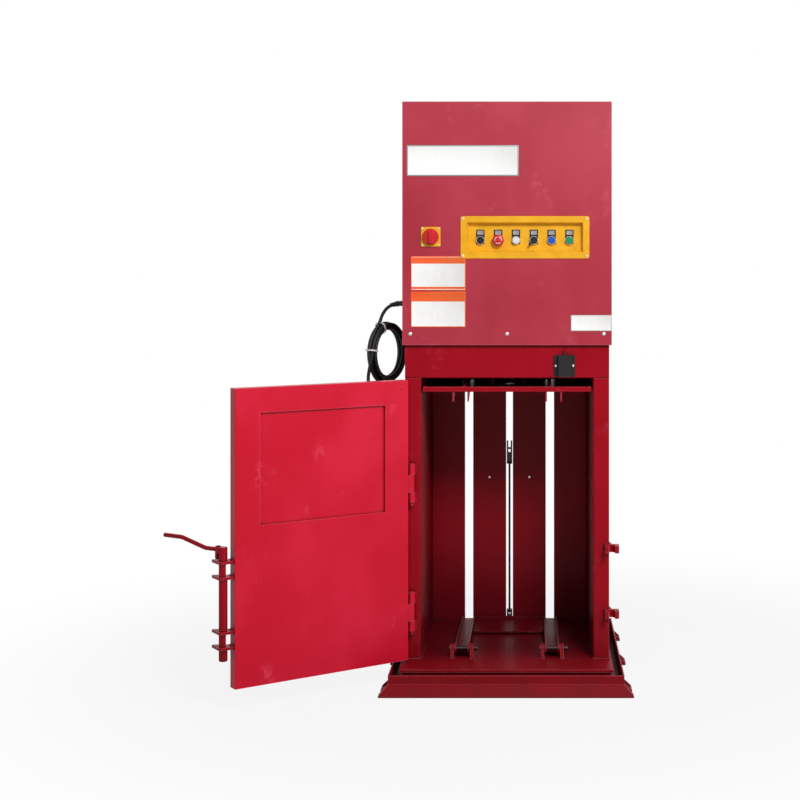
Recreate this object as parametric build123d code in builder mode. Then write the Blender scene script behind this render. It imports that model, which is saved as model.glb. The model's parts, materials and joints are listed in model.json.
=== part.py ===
from build123d import *
from math import cos, pi, radians, sin, sqrt, tan
import os

os.makedirs("parts", exist_ok=True)

# Frame of the part: X to the right, Y to the back, Z up, origin on the floor under the middle of the tray.

# Body of the baler
body_width = 709.0
body_depth = 610.0
body_front = -216.0
column_width = 56.0
column_depth = 60.0
column_wall = 4.0
column_round = 6.0
floor_height = 70.0
floor_thickness = 10.0
floor_ledge = 138.0
floor_overhang = 7.5
header_underside = 1045.0
header_height = 115.0
header_wall = 5.0
header_depth = 46.0

# Drip tray
tray_side_gap = 40.5
tray_depth = 832.0
tray_height = 66.0
tray_wall = 4.0
skirt_height = 38.0
skirt_reach = 30.0
skirt_lip = 6.0
lug_length = 62.0
lug_reach = 28.0
lug_thickness = 8.0
lug_gusset = 5.0
lug_height = 34.0
lug_hole = 14.0
lug_pitch = 350.0

# Floor beams
beam_width = 60.0
beam_wall = 5.0
beam_inset = 8.0

# Chamber walls
wall_plate = 5.0
wall_rib_height = 40.0
wall_rib_wall = 4.0
wall_rib_depth = 44.0
wall_rib_heights = (250.0, 510.0, 770.0)
channel_depth = 40.0
channel_plate = 5.0
channel_bend = 7.0
side_slot = 32.0
middle_slot = 26.0
strap_hole = 8.0
strap_hole_height = 623.0

# Head
head_side_lead = 8.0
head_lead = 15.0
head_height = 843.0
head_tail = 6.0
head_sheet = 2.0
head_bend = 5.0
head_lip = 18.0
deck_thickness = 16.0
deck_bore_clearance = 0.5
deck_inset = 5.0
deck_joint = 0.3
louvre_count = 8
louvre_width = 300.0
louvre_height = 7.0
louvre_pitch = 26.0
louvre_base = 1650.0
panel_screw_diameter = 12.0
panel_screw_head = 3.0
panel_screw_height = 39.0
panel_screw_spacing = 335.0

# Control panel
bezel_width = 446.0
bezel_height = 147.0
bezel_x = 62.0
bezel_z = 1533.0
bezel_flange = 22.0
bezel_plate = 3.0
bezel_round = 8.0
recess_depth = 20.0
recess_slope = 8.0
recess_wall = 2.5
bezel_screw_diameter = 8.0
bezel_screw_inset = 9.0
button_spacing = 61.8
button_z = 1523.0
collar_diameter = 30.0
collar_height = 7.0
collar_bore = 24.6
cap_diameter = 24.0
cap_height = 9.0
cap_travel = 4.0
cap_round = 1.5
stem_diameter = 10.0
stem_length = 12.0
stem_hole = 12.0
legend_width = 29.0
legend_height = 50.0
legend_plate = 2.0
legend_offset = 12.0
mushroom_diameter = 40.0
mushroom_height = 16.0
mushroom_neck = 20.0
selector_width = 8.0
selector_height = 15.0
selector_tail = 24.0
selector_nose = 10.0
selector_angle = 45.0
contact_width = 30.0
contact_height = 42.0
contact_depth = 45.0

# Main switch
switch_x = -264.0
switch_z = 1535.0
switch_plate_side = 68.0
switch_plate_thickness = 4.0
switch_knob_diameter = 57.0
switch_knob_height = 12.0
switch_grip_width = 13.0
switch_grip_length = 54.0
switch_grip_inset = 3.0
switch_grip_height = 12.0
switch_body_side = 56.0
switch_body_depth = 60.0
switch_shaft = 8.0

# Door interlock
interlock_x = 199.0
interlock_z = 1088.0
interlock_width = 73.0
interlock_height = 74.0
interlock_base = 5.0
interlock_body_width = 46.0
interlock_body_depth = 34.0
interlock_screw_diameter = 9.0
interlock_screw_head = 4.0
interlock_lead_diameter = 4.0
interlock_lead_rise = 16.0

# Door
door_latch_margin = 25.5
door_top_gap = 5.0
door_thickness = 40.0
door_sheet = 4.0
door_gap = 6.0
door_underside = 76.0
door_round = 3.0
door_open_angle = 145.0
door_hinge_margin = 18.0
recess_left = 91.0
recess_width = 463.0
recess_height = 364.0
recess_top_margin = 82.0
recess_sink = 9.0
recess_lap = 20.0
recess_panel_thickness = 5.0

# Hinges
pin_inset = 24.5
pin_standoff = 16.0
pin_diameter = 12.0
pin_clearance = 0.05
eye_radius = 13.0
hinge_heights = (238.0, 682.0)
eye_height = 34.0
eye_gap = 62.0
knuckle_radius = 10.5
knuckle_gap = 1.0
pin_head_diameter = 18.0
pin_head_height = 4.0
pin_tail = 12.0
split_pin_diameter = 3.0
split_pin_length = 24.0

# Latch
bar_offset = 29.0
bar_depth = 12.0
bar_diameter = 28.0
bar_flat = 18.0
bar_bottom = 166.0
bar_top = 532.0
lug_plate = 9.0
lug_spread = 50.0
lug_wall = 6.0
lug_nose = 24.0
latch_heights = (233.0, 458.0)
latch_clearance = 0.08
keeper_height = 26.0
keeper_wall = 14.0
keeper_clearance = 0.6
keeper_plate = 8.0
keeper_tail = 62.0
lever_diameter = 14.0
lever_angle = 23.0
lever_start = 22.0
lever_length = 260.0
lever_rise = 25.0
lever_bend = 70.0
lever_neck = 20.0
lever_plate = 8.0
lever_plate_width = 20.0
lever_plate_height = 44.0

# Platen and cylinder
platen_gap = 7.0
platen_drop = 49.0
platen_plate = 8.0
platen_rim_height = 18.0
platen_rim = 6.0
platen_front_gap = 10.0
platen_rib_height = 44.0
platen_rib = 8.0
platen_rib_offset = 150.0
tooth_height = 34.0
tooth_thickness = 5.0
tooth_length = 120.0
tooth_positions = (-188.0, -136.0, 136.0, 188.0)
clevis_gap = 103.0
clevis_plate = 12.0
clevis_width = 56.0
clevis_pin_diameter = 20.0
clevis_pin_rim = 6.0
clevis_pin_length = 246.0
clevis_pin_height = 26.0
rod_diameter = 45.0
rod_eye_width = 60.0
rod_eye_radius = 24.0
barrel_diameter = 92.0
barrel_bore = 70.0
barrel_base = 18.0
barrel_length = 790.0
piston_thickness = 40.0
piston_clearance = 0.1
rod_clearance = 0.05
gland_length = 36.0
gland_diameter = 84.0
piston_headroom = 12.0

# Ejector
arm_spacing = 157.0
arm_width = 50.0
arm_wall = 5.0
arm_lift = 6.0
arm_reach = 530.0
pivot_y = -190.0
pivot_height = 32.0
pivot_pin_diameter = 16.0
pivot_clearance = 0.06
ear_thickness = 12.0
ear_gap = 3.0
ear_radius = 16.0
arm_tip_height = 16.0
cross_depth = 200.0
cross_plate = 6.0
ear_foot_front = 26.0
ear_foot_back = 20.0
pull_rod_diameter = 8.0
pull_rod_top = 762.0
pull_pin_diameter = 8.0
pull_lug_thickness = 8.0
pull_eye_radius = 9.0
pull_fork_height = 26.0
clevis_head_height = 90.0
clevis_head_width = 21.0
clevis_head_depth = 18.0
clevis_head_slot = 9.0

# Mains cord
cord_diameter = 12.0
cord_gland_length = 26.0
cord_gland_play = 0.3
gland_y = -80.0
gland_z = 1301.0
gland_hex = 24.0
coil_x = -432.0
coil_y = -44.0
coil_z = 1124.0
coil_radius = 99.0
coil_bundle_width = 40.0
coil_bundle_depth = 36.0
coil_angle = 62.0
tail_offset = 107.0
tail_back = 9.5
tail_drop = 62.0
tie_width = 6.0
tie_thickness = 1.6
tie_gap = 0.3
tie_angles = (115.0, 173.0)
plug_diameter = 46.0
plug_length = 96.0
plug_neck = 20.0

# Hydraulic unit inside the head
tank_width = 190.0
tank_depth = 300.0
tank_height = 330.0
tank_corner = 14.0
motor_diameter = 160.0
motor_length = 260.0
motor_foot = 20.0
unit_margin = 30.0
valve_side = 90.0
hose_diameter = 16.0
port_diameter = 28.0
port_height = 45.0
port_reach = 62.0

# Worked out from the sizes above
body_back = body_front + body_depth
tray_width = body_width + 2 * tray_side_gap
head_width = body_width + 2 * head_side_lead
pin_x = -body_width / 2 + pin_inset
door_width = body_width - pin_inset - door_hinge_margin - door_latch_margin
door_height = header_underside - door_top_gap - door_underside
platen_height = header_underside - platen_drop
floor_underside = floor_height - floor_thickness
column_inner = body_width / 2 - column_width
chamber_width = 2 * column_inner
chamber_back = body_back - channel_depth
strip_width = (chamber_width - 2 * side_slot - middle_slot) / 4
header_top = header_underside + header_height
deck_top = header_top + deck_thickness
head_front = body_front - head_lead
head_back = body_back + head_tail
tray_front = -tray_depth / 2
pin_y = body_front - pin_standoff


def save(part, name):
    """Label a finished piece and write its STEP file."""
    part.label = name
    export_step(part, "parts/" + name + ".step")


def front_plane(y, x=0.0, z=0.0):
    """Upright plane facing the front, local x to the right and local y up."""
    return Plane(origin=(x, y, z), x_dir=(1, 0, 0), z_dir=(0, -1, 0))


def side_plane(x, y=0.0, z=0.0):
    """Upright plane facing right, local x to the back and local y up."""
    return Plane(origin=(x, y, z), x_dir=(0, 1, 0), z_dir=(1, 0, 0))


# Drip tray, one welding: pan, sloped front skirt and bolt-down lugs
with BuildPart() as drip_tray:
    with BuildSketch():
        Rectangle(tray_width, tray_depth)
    extrude(amount=tray_height)
    with BuildSketch(Plane.XY.offset(tray_wall)):
        Rectangle(tray_width - 2 * tray_wall, tray_depth - 2 * tray_wall)
    extrude(amount=tray_height, mode=Mode.SUBTRACT)
    skirt_back = tray_front + tray_wall
    with BuildSketch(Plane.XY):
        with Locations((0, (tray_front - skirt_reach + skirt_back) / 2)):
            Rectangle(tray_width + 2 * skirt_reach, skirt_back - tray_front + skirt_reach)
    extrude(amount=skirt_lip)
    with BuildSketch(Plane.XY.offset(skirt_lip)):
        with Locations((0, (tray_front - skirt_reach + skirt_back) / 2)):
            Rectangle(tray_width + 2 * skirt_reach, skirt_back - tray_front + skirt_reach)
    with BuildSketch(Plane.XY.offset(skirt_height)):
        with Locations((0, (tray_front + skirt_back) / 2)):
            Rectangle(tray_width, skirt_back - tray_front)
    loft()
    for side in (-1, 1):
        with BuildSketch(Plane.XY):
            with Locations(*[(side * (tray_width + lug_reach) / 2, y) for y in (-lug_pitch, 0, lug_pitch)]):
                Rectangle(lug_reach, lug_length)
        extrude(amount=lug_thickness)
        for place in (-lug_pitch, 0, lug_pitch):
            for end in (-1, 1):
                gusset_y = place + end * (lug_length - lug_gusset) / 2
                gusset_plane = Plane(
                    origin=(side * tray_width / 2, gusset_y, lug_thickness),
                    x_dir=(side, 0, 0),
                    z_dir=(0, -side, 0),
                )
                with BuildSketch(gusset_plane):
                    with BuildLine():
                        Polyline((0, 0), (lug_reach, 0), (0, lug_height - lug_thickness), close=True)
                    make_face()
                extrude(amount=lug_gusset / 2, both=True)
    with BuildSketch(Plane.XY):
        with GridLocations(tray_width + lug_reach, lug_pitch, 2, 3):
            Circle(lug_hole / 2)
    extrude(amount=lug_thickness, mode=Mode.SUBTRACT)
save(drip_tray.part, "drip_tray")

# Beams between the tray and the floor plate
ledge_front = body_front - floor_ledge
beam_places = (ledge_front + beam_inset, (ledge_front + body_back - beam_width) / 2, body_back - beam_width)
with BuildPart() as floor_beams:
    for place in beam_places:
        beam_height = floor_underside - tray_wall
        with BuildSketch(side_plane(-body_width / 2, place + beam_width / 2, tray_wall + beam_height / 2)):
            Rectangle(beam_width, floor_underside - tray_wall)
            Rectangle(beam_width - 2 * beam_wall, beam_height - 2 * beam_wall, mode=Mode.SUBTRACT)
        extrude(amount=body_width)
save(floor_beams.part, "floor_beams")

# Floor plate of the chamber, its ledge standing out in front of the door
with BuildPart() as floor_plate:
    with BuildSketch(Plane.XY.offset(floor_underside)):
        with Locations((0, (ledge_front + body_back) / 2)):
            Rectangle(body_width + 2 * floor_overhang, body_back - ledge_front)
    extrude(amount=floor_thickness)
    chamfer(floor_plate.edges().filter_by(Axis.X).group_by(Axis.Y)[0].sort_by(Axis.Z)[-1], 2)
save(floor_plate.part, "floor_plate")

# Front columns of square tube
for side, column_name in ((-1, "left_column"), (1, "right_column")):
    with BuildPart() as column:
        with BuildSketch(Plane.XY.offset(floor_height)):
            with Locations((side * (column_inner + column_width / 2), body_front + column_depth / 2)):
                RectangleRounded(column_width, column_depth, column_round)
                RectangleRounded(
                    column_width - 2 * column_wall,
                    column_depth - 2 * column_wall,
                    column_round - column_wall / 2,
                    mode=Mode.SUBTRACT,
                )
        extrude(amount=header_underside - floor_height)
    save(column.part, column_name)

# Side walls: a plate folded out at the rear, with channel ribs welded across its outer face
wall_front = body_front + column_depth
for side, wall_name in ((-1, "left_side_wall"), (1, "right_side_wall")):
    with BuildPart() as side_wall:
        with BuildSketch(Plane.XY.offset(floor_height)):
            with Locations((side * (column_inner + wall_plate / 2), (wall_front + body_back) / 2)):
                Rectangle(wall_plate, body_back - wall_front)
            with Locations((side * (column_inner + column_width / 2), body_back - wall_plate / 2)):
                Rectangle(column_width, wall_plate)
        extrude(amount=header_underside - floor_height)
        for height in wall_rib_heights:
            rib_plane = Plane(
                origin=(side * (column_inner + wall_plate), wall_front, height),
                x_dir=(side, 0, 0),
                z_dir=(0, 1, 0),
            )
            rib_span = body_back - wall_plate - wall_front
            with BuildSketch(rib_plane):
                with Locations((wall_rib_depth / 2, 0)):
                    Rectangle(wall_rib_depth, wall_rib_height)
                with Locations(((wall_rib_depth - wall_rib_wall) / 2, 0)):
                    Rectangle(
                        wall_rib_depth - wall_rib_wall,
                        wall_rib_height - 2 * wall_rib_wall,
                        mode=Mode.SUBTRACT,
                    )
            extrude(amount=rib_span)
    save(side_wall.part, wall_name)

# Back wall: four folded channels with open slots between them
strip_pitch_inner = (middle_slot + strip_width) / 2
strip_pitch_outer = middle_slot / 2 + strip_width + side_slot + strip_width / 2
strip_places = (-strip_pitch_outer, -strip_pitch_inner, strip_pitch_inner, strip_pitch_outer)
for number, place in enumerate(strip_places, 1):
    with BuildPart() as back_channel:
        with BuildSketch(Plane.XY.offset(floor_height)):
            with Locations((place, chamber_back + channel_depth / 2)):
                Rectangle(strip_width, channel_depth)
            with Locations((place, chamber_back + channel_plate + channel_depth / 2)):
                Rectangle(strip_width - 2 * channel_plate, channel_depth, mode=Mode.SUBTRACT)
        extrude(amount=header_underside - floor_height)
        front_bends = back_channel.edges().filter_by(Axis.Z).group_by(Axis.Y)[0]
        fillet(front_bends, channel_bend / 2)
        if abs(place) < strip_width:
            with BuildSketch(front_plane(chamber_back + channel_plate, place, strap_hole_height)):
                Circle(strap_hole / 2)
            extrude(amount=channel_plate, mode=Mode.SUBTRACT)
    save(back_channel.part, "back_channel_" + str(number))

# Header ring on top of the columns and walls
with BuildPart() as top_frame:
    with BuildSketch(Plane.XY.offset(header_underside)):
        with Locations((0, (body_front + body_back) / 2)):
            Rectangle(body_width, body_depth)
            Rectangle(chamber_width, body_depth - 2 * header_depth, mode=Mode.SUBTRACT)
    extrude(amount=header_height)
    with BuildSketch(Plane.XY.offset(header_underside + header_wall)):
        with Locations((0, (body_front + body_back) / 2)):
            Rectangle(body_width - 2 * header_wall, body_depth - 2 * header_wall)
    extrude(amount=header_height - 2 * header_wall, mode=Mode.SUBTRACT)
    fillet(top_frame.edges().filter_by(Axis.X).group_by(Axis.Y)[0], header_wall)
save(top_frame.part, "top_frame")

# Deck plate that carries the cylinder on the header ring
cylinder_y = (body_front + platen_front_gap + chamber_back - platen_gap) / 2
with BuildPart() as cylinder_deck:
    with BuildSketch(Plane.XY.offset(header_top)):
        with Locations((0, (body_front + body_back) / 2)):
            Rectangle(body_width - 2 * deck_inset, body_depth - 2 * deck_inset)
        with Locations((0, cylinder_y)):
            Circle(gland_diameter / 2 + deck_bore_clearance, mode=Mode.SUBTRACT)
    extrude(amount=deck_thickness)
save(cylinder_deck.part, "cylinder_deck")

# Head cover of bent sheet: back, sides and top in one, open in front, with a flange on the header
head_middle_y = (head_front + head_sheet + head_back) / 2
head_shell_depth = head_back - head_front - head_sheet
with BuildPart() as head_shell:
    with BuildSketch(Plane.XY.offset(header_top)):
        with Locations((0, head_middle_y)):
            Rectangle(head_width, head_shell_depth)
    extrude(amount=head_height)
    fillet(head_shell.edges().filter_by(Axis.Z).group_by(Axis.Y)[-1], head_bend)
    fillet(head_shell.edges().group_by(Axis.Z)[-1].filter_by(Axis.Y), head_bend)
    with BuildSketch(Plane.XY.offset(header_top + head_sheet)):
        with Locations((0, head_middle_y - head_sheet)):
            Rectangle(head_width - 2 * head_sheet, head_shell_depth)
    extrude(amount=head_height - 2 * head_sheet, mode=Mode.SUBTRACT)
    with BuildSketch(Plane.XY.offset(header_top)):
        with Locations((0, (body_front + body_back) / 2)):
            Rectangle(body_width - 2 * deck_inset, body_depth - 2 * deck_inset)
            offset(amount=deck_joint, kind=Kind.INTERSECTION)
    extrude(amount=head_sheet, mode=Mode.SUBTRACT)
    with BuildSketch(front_plane(head_back, 0, louvre_base)):
        with GridLocations(0, louvre_pitch, 1, louvre_count):
            SlotOverall(louvre_width, louvre_height)
    extrude(amount=head_lip, both=True, mode=Mode.SUBTRACT)
    gland_cut = Plane(origin=(-head_width / 2, gland_y, gland_z), x_dir=(0, -1, 0), z_dir=(-1, 0, 0))
    with BuildSketch(gland_cut):
        Circle(gland_hex / 2 - 2)
    extrude(amount=head_lip, both=True, mode=Mode.SUBTRACT)
save(head_shell.part, "head_shell")

# Front panel of the head, cut out for the control recess and the main switch
panel_screw_places = [(side * panel_screw_spacing, header_top + panel_screw_height) for side in (-1, 0, 1)]
bezel_inner_width = bezel_width - 2 * bezel_flange
bezel_inner_height = bezel_height - 2 * bezel_flange
with BuildPart() as front_panel:
    with BuildSketch(front_plane(head_front)):
        with Locations((0, header_top + head_height / 2)):
            Rectangle(head_width, head_height)
        with Locations((bezel_x, bezel_z)):
            Rectangle(bezel_inner_width + bezel_round, bezel_inner_height + bezel_round, mode=Mode.SUBTRACT)
        with Locations((switch_x, switch_z)):
            Circle(switch_shaft / 2 + 1, mode=Mode.SUBTRACT)
        with Locations(*panel_screw_places):
            Circle(panel_screw_diameter / 4, mode=Mode.SUBTRACT)
    extrude(amount=-head_sheet)
save(front_panel.part, "front_panel")


def domed_screw(diameter, height):
    """Domed screw head lying on XY, its top along +Z, with a short shank below."""
    with BuildPart(mode=Mode.PRIVATE) as screw:
        with BuildSketch(Plane.XZ):
            with BuildLine():
                shank = diameter / 4 - 0.2
                top = (0, height)
                Line(top, (0, -2 * height))
                Line((0, -2 * height), (shank, -2 * height))
                Line((shank, -2 * height), (shank, 0))
                Line((shank, 0), (diameter / 2, 0))
                Line((diameter / 2, 0), (diameter / 2, height / 4))
                TangentArc(top, (diameter / 2, height / 4), tangent=(1, 0))
            make_face()
        revolve(axis=Axis.Z)
    return screw.part


screw_face = Plane(origin=(0, head_front, 0), x_dir=(1, 0, 0), z_dir=(0, -1, 0))
with BuildPart(screw_face) as panel_screws:
    with Locations(*panel_screw_places):
        add(domed_screw(panel_screw_diameter, panel_screw_head))
save(panel_screws.part, "panel_screws")

# Control recess: a moulded frame with sloped walls and a sunken floor that carries the buttons
recess_floor_y = head_front + recess_depth - bezel_plate
button_places = [(bezel_x + (index - 2.5) * button_spacing, button_z) for index in range(6)]
with BuildPart() as control_recess:
    with BuildSketch(front_plane(head_front, bezel_x, bezel_z)):
        RectangleRounded(bezel_width, bezel_height, bezel_round)
    extrude(amount=bezel_plate)
    rim = control_recess.faces().filter_by(Axis.Y).sort_by(Axis.Y)[0].outer_wire().edges()
    fillet(rim, bezel_plate / 2)
    outer_width = bezel_inner_width + 2 * recess_wall
    outer_height = bezel_inner_height + 2 * recess_wall
    with BuildSketch(front_plane(head_front, bezel_x, bezel_z)):
        Rectangle(outer_width, outer_height)
    with BuildSketch(front_plane(recess_floor_y + recess_wall, bezel_x, bezel_z)):
        Rectangle(outer_width - 2 * recess_slope, outer_height - 2 * recess_slope)
    loft()
    with BuildSketch(front_plane(head_front - bezel_plate, bezel_x, bezel_z)):
        Rectangle(bezel_inner_width, bezel_inner_height)
    with BuildSketch(front_plane(recess_floor_y, bezel_x, bezel_z)):
        Rectangle(bezel_inner_width - 2 * recess_slope, bezel_inner_height - 2 * recess_slope)
    loft(mode=Mode.SUBTRACT)
    with BuildSketch(front_plane(recess_floor_y)):
        with Locations(*button_places):
            Circle(stem_hole / 2)
    extrude(amount=-2 * recess_wall, both=True, mode=Mode.SUBTRACT)
save(control_recess.part, "control_recess")

screw_span_x = bezel_width - 2 * bezel_screw_inset
screw_span_z = bezel_height - 2 * bezel_screw_inset
bezel_screw_face = front_plane(head_front - bezel_plate, bezel_x, bezel_z)
with BuildPart(bezel_screw_face) as bezel_screws:
    with GridLocations(screw_span_x, screw_span_z, 2, 2):
        Cylinder(bezel_screw_diameter / 2, 2, align=(Align.CENTER, Align.CENTER, Align.MIN))
    fillet(bezel_screws.edges().filter_by(GeomType.CIRCLE).group_by(Axis.Y)[0], 1)
save(bezel_screws.part, "recess_screws")

# Legend plates behind the buttons
with BuildPart() as legend_plates:
    with BuildSketch(front_plane(recess_floor_y)):
        with Locations(*[(x, z + legend_offset) for x, z in button_places]):
            RectangleRounded(legend_width, legend_height, 2)
        with Locations(*button_places):
            Circle(stem_hole / 2, mode=Mode.SUBTRACT)
    extrude(amount=legend_plate)
save(legend_plates.part, "legend_plates")

# Chromed collars round the five flush operators
legend_face_y = recess_floor_y - legend_plate
collar_places = [place for index, place in enumerate(button_places) if index != 1]
with BuildPart() as button_collars:
    with BuildSketch(front_plane(legend_face_y)):
        with Locations(*collar_places):
            Circle(collar_diameter / 2)
            Circle(collar_bore / 2, mode=Mode.SUBTRACT)
    extrude(amount=collar_height)
    chamfer(button_collars.edges().filter_by(GeomType.CIRCLE).group_by(Axis.Y)[0], 1)
save(button_collars.part, "button_collars")

# Contact blocks behind the recess floor
with BuildPart() as contact_blocks:
    with BuildSketch(front_plane(recess_floor_y + recess_wall)):
        with Locations(*button_places):
            Rectangle(contact_width, contact_height)
    extrude(amount=-contact_depth)
    with BuildSketch(front_plane(recess_floor_y + recess_wall)):
        with Locations(*button_places):
            Circle(stem_hole / 2)
    extrude(amount=-stem_length - cap_travel, mode=Mode.SUBTRACT)
save(contact_blocks.part, "contact_blocks")

# Push buttons: a domed cap on a stem that reaches its contact block
for index, name in ((0, "black_button"), (2, "white_button"), (4, "blue_button"), (5, "green_button")):
    button_x, button_height = button_places[index]
    cap_base_y = legend_face_y - cap_travel - 0.5
    with BuildPart() as push_button:
        with BuildSketch(front_plane(cap_base_y, button_x, button_height)):
            Circle(cap_diameter / 2)
        extrude(amount=cap_height - cap_travel)
        fillet(push_button.edges().filter_by(GeomType.CIRCLE).group_by(Axis.Y)[0], cap_round)
        with BuildSketch(front_plane(cap_base_y, button_x, button_height)):
            Circle(stem_diameter / 2)
        extrude(amount=-stem_length)
    save(push_button.part, name)

# Mushroom stop button
stop_x, stop_z = button_places[1]
with BuildPart() as stop_button:
    with BuildSketch(side_plane(stop_x, 0, stop_z)):
        with BuildLine():
            base = legend_face_y - cap_travel - 0.5
            face = base - mushroom_height
            edge = face + mushroom_height / 3
            rim = mushroom_diameter / 2
            neck = mushroom_neck / 2
            tip = base + stem_length
            Polyline((tip, 0), (tip, stem_diameter / 2), (base, stem_diameter / 2))
            Polyline((base, stem_diameter / 2), (base, neck), (base - mushroom_height / 3, neck), (edge, rim))
            TangentArc((face, 0), (edge, rim), tangent=(0, 1))
            Line((face, 0), (base + stem_length, 0))
        make_face()
    revolve(axis=Axis((stop_x, 0, stop_z), (0, 1, 0)))
save(stop_button.part, "stop_button")

# Selector with a long tail and a short nose, turned on its own axis
selector_x, selector_z = button_places[3]
selector_base_y = legend_face_y - 1
selector_plane = Plane(
    origin=(selector_x, selector_base_y, selector_z),
    x_dir=(cos(radians(selector_angle)), 0, sin(radians(selector_angle))),
    z_dir=(0, -1, 0),
)
with BuildPart() as selector_knob:
    with BuildSketch(selector_plane):
        Circle(cap_diameter / 2)
    extrude(amount=collar_height)
    with BuildSketch(selector_plane.offset(collar_height - 1)):
        with Locations(((selector_nose - selector_tail) / 2, 0)):
            SlotOverall(selector_nose + selector_tail, selector_width)
    extrude(amount=selector_height - collar_height)
    with BuildSketch(selector_plane):
        Circle(stem_diameter / 2)
    extrude(amount=-stem_length)
save(selector_knob.part, "selector_knob")

# Main switch: square plate, turning knob and the switch body behind the panel
with BuildPart() as switch_plate:
    with BuildSketch(front_plane(head_front, switch_x, switch_z)):
        RectangleRounded(switch_plate_side, switch_plate_side, 3)
        Circle(switch_shaft / 2 + 1, mode=Mode.SUBTRACT)
    extrude(amount=switch_plate_thickness)
    chamfer(switch_plate.faces().filter_by(Axis.Y).sort_by(Axis.Y)[0].outer_wire().edges(), 1)
save(switch_plate.part, "switch_plate")

switch_knob_y = head_front - switch_plate_thickness - 0.5
with BuildPart() as switch_knob:
    with BuildSketch(front_plane(switch_knob_y, switch_x, switch_z)):
        Circle(switch_knob_diameter / 2)
    extrude(amount=switch_knob_height, taper=6)
    fillet(switch_knob.edges().filter_by(GeomType.CIRCLE).group_by(Axis.Y)[0], 2)
    with BuildSketch(front_plane(switch_knob_y - switch_knob_height + 1, switch_x, switch_z)):
        with Locations(Location((0, 0), 90)):
            SlotOverall(switch_grip_length - 2 * switch_grip_inset, switch_grip_width)
    extrude(amount=switch_grip_height, taper=8)
    with BuildSketch(front_plane(switch_knob_y, switch_x, switch_z)):
        Circle(switch_shaft / 2)
    extrude(amount=-stem_length)
save(switch_knob.part, "switch_knob")

with BuildPart() as switch_body:
    with BuildSketch(front_plane(head_front + head_sheet, switch_x, switch_z)):
        Rectangle(switch_body_side, switch_body_side)
    extrude(amount=-switch_body_depth)
    with BuildSketch(front_plane(head_front + head_sheet, switch_x, switch_z)):
        Circle(switch_shaft / 2 + 1)
    extrude(amount=-stem_length, mode=Mode.SUBTRACT)
save(switch_body.part, "switch_body")

# Door interlock on the header, with its short lead going up into the steel
with BuildPart() as interlock_box:
    with BuildSketch(front_plane(body_front, interlock_x, interlock_z)):
        RectangleRounded(interlock_width, interlock_height, 3)
    extrude(amount=interlock_base)
    with BuildSketch(front_plane(body_front, interlock_x, interlock_z)):
        Rectangle(interlock_body_width, interlock_height)
    extrude(amount=interlock_body_depth)
    fillet(interlock_box.edges().group_by(Axis.Y)[0].filter_by(Axis.Z), 3)
save(interlock_box.part, "interlock_box")

interlock_screw_x = (interlock_width + interlock_body_width) / 4
interlock_face = Plane(
    origin=(interlock_x, body_front - interlock_base, interlock_z), x_dir=(1, 0, 0), z_dir=(0, -1, 0)
)
with BuildPart(interlock_face) as interlock_screws:
    with Locations((-interlock_screw_x, 0), (interlock_screw_x, 0)):
        Cylinder(
            interlock_screw_diameter / 2,
            interlock_screw_head,
            align=(Align.CENTER, Align.CENTER, Align.MIN),
        )
    fillet(interlock_screws.edges().filter_by(GeomType.CIRCLE).group_by(Axis.Y)[0], 1.5)
save(interlock_screws.part, "interlock_screws")

# Interlock lead: a thin cable that goes up from the box and back into the header
with BuildPart() as interlock_lead:
    lead_y = body_front - interlock_body_depth / 2
    lead_start = interlock_z + interlock_height / 2
    lead_turn = lead_start + interlock_lead_rise
    with BuildLine():
        FilletPolyline(
            (interlock_x, lead_y, lead_start),
            (interlock_x, lead_y, lead_turn),
            (interlock_x, body_front, lead_turn),
            radius=2 * interlock_lead_diameter,
        )
    with BuildSketch(Plane.XY.offset(lead_start)):
        with Locations((interlock_x, lead_y)):
            Circle(interlock_lead_diameter / 2)
    sweep()
save(interlock_lead.part, "interlock_lead")

# Door, made in its own frame: x along the door from the hinge pin, y from outside to inside, z up
swing = radians(door_open_angle)
door_along = (cos(swing), -sin(swing), 0)
door_inward = (sin(swing), cos(swing), 0)
door_inside = pin_standoff - door_gap
door_outside = door_inside - door_thickness
door_near = door_hinge_margin
door_far = door_near + door_width


def door_plan(height):
    """Level plane in the door's frame, its origin on the hinge pin."""
    return Plane(origin=(pin_x, pin_y, height), x_dir=door_along, z_dir=(0, 0, 1))


def door_point(along, inward, height=0.0):
    """Place in the part's frame of a point given in the door's frame."""
    x = pin_x + along * door_along[0] + inward * door_inward[0]
    y = pin_y + along * door_along[1] + inward * door_inward[1]
    return (x, y, height)


def door_face(inward, along=0.0, height=0.0):
    """Upright plane over the door's inner side, local x towards the hinge and local y up."""
    facing = (-door_along[0], -door_along[1], 0)
    return Plane(origin=door_point(along, inward, height), x_dir=facing, z_dir=door_inward)


door_middle = (door_near + door_far) / 2
door_centre_height = door_underside + door_height / 2
recess_along = door_near + recess_left + recess_width / 2
recess_centre_height = door_underside + door_height - recess_top_margin - recess_height / 2
with BuildPart() as door_panel:
    with BuildSketch(door_plan(door_underside)):
        with Locations((door_middle, (door_inside + door_outside) / 2)):
            RectangleRounded(door_width, door_thickness, door_round)
    extrude(amount=door_height)
    with BuildSketch(door_face(door_outside + door_sheet, door_middle, door_centre_height)):
        Rectangle(door_width - 2 * door_sheet, door_height - 2 * door_sheet)
    extrude(amount=door_thickness - door_sheet - recess_sink, mode=Mode.SUBTRACT)
    with BuildSketch(door_face(door_inside, recess_along, recess_centre_height)):
        RectangleRounded(recess_width, recess_height, door_round)
    extrude(amount=-2 * recess_sink, mode=Mode.SUBTRACT)
save(door_panel.part, "door_panel")

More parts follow.
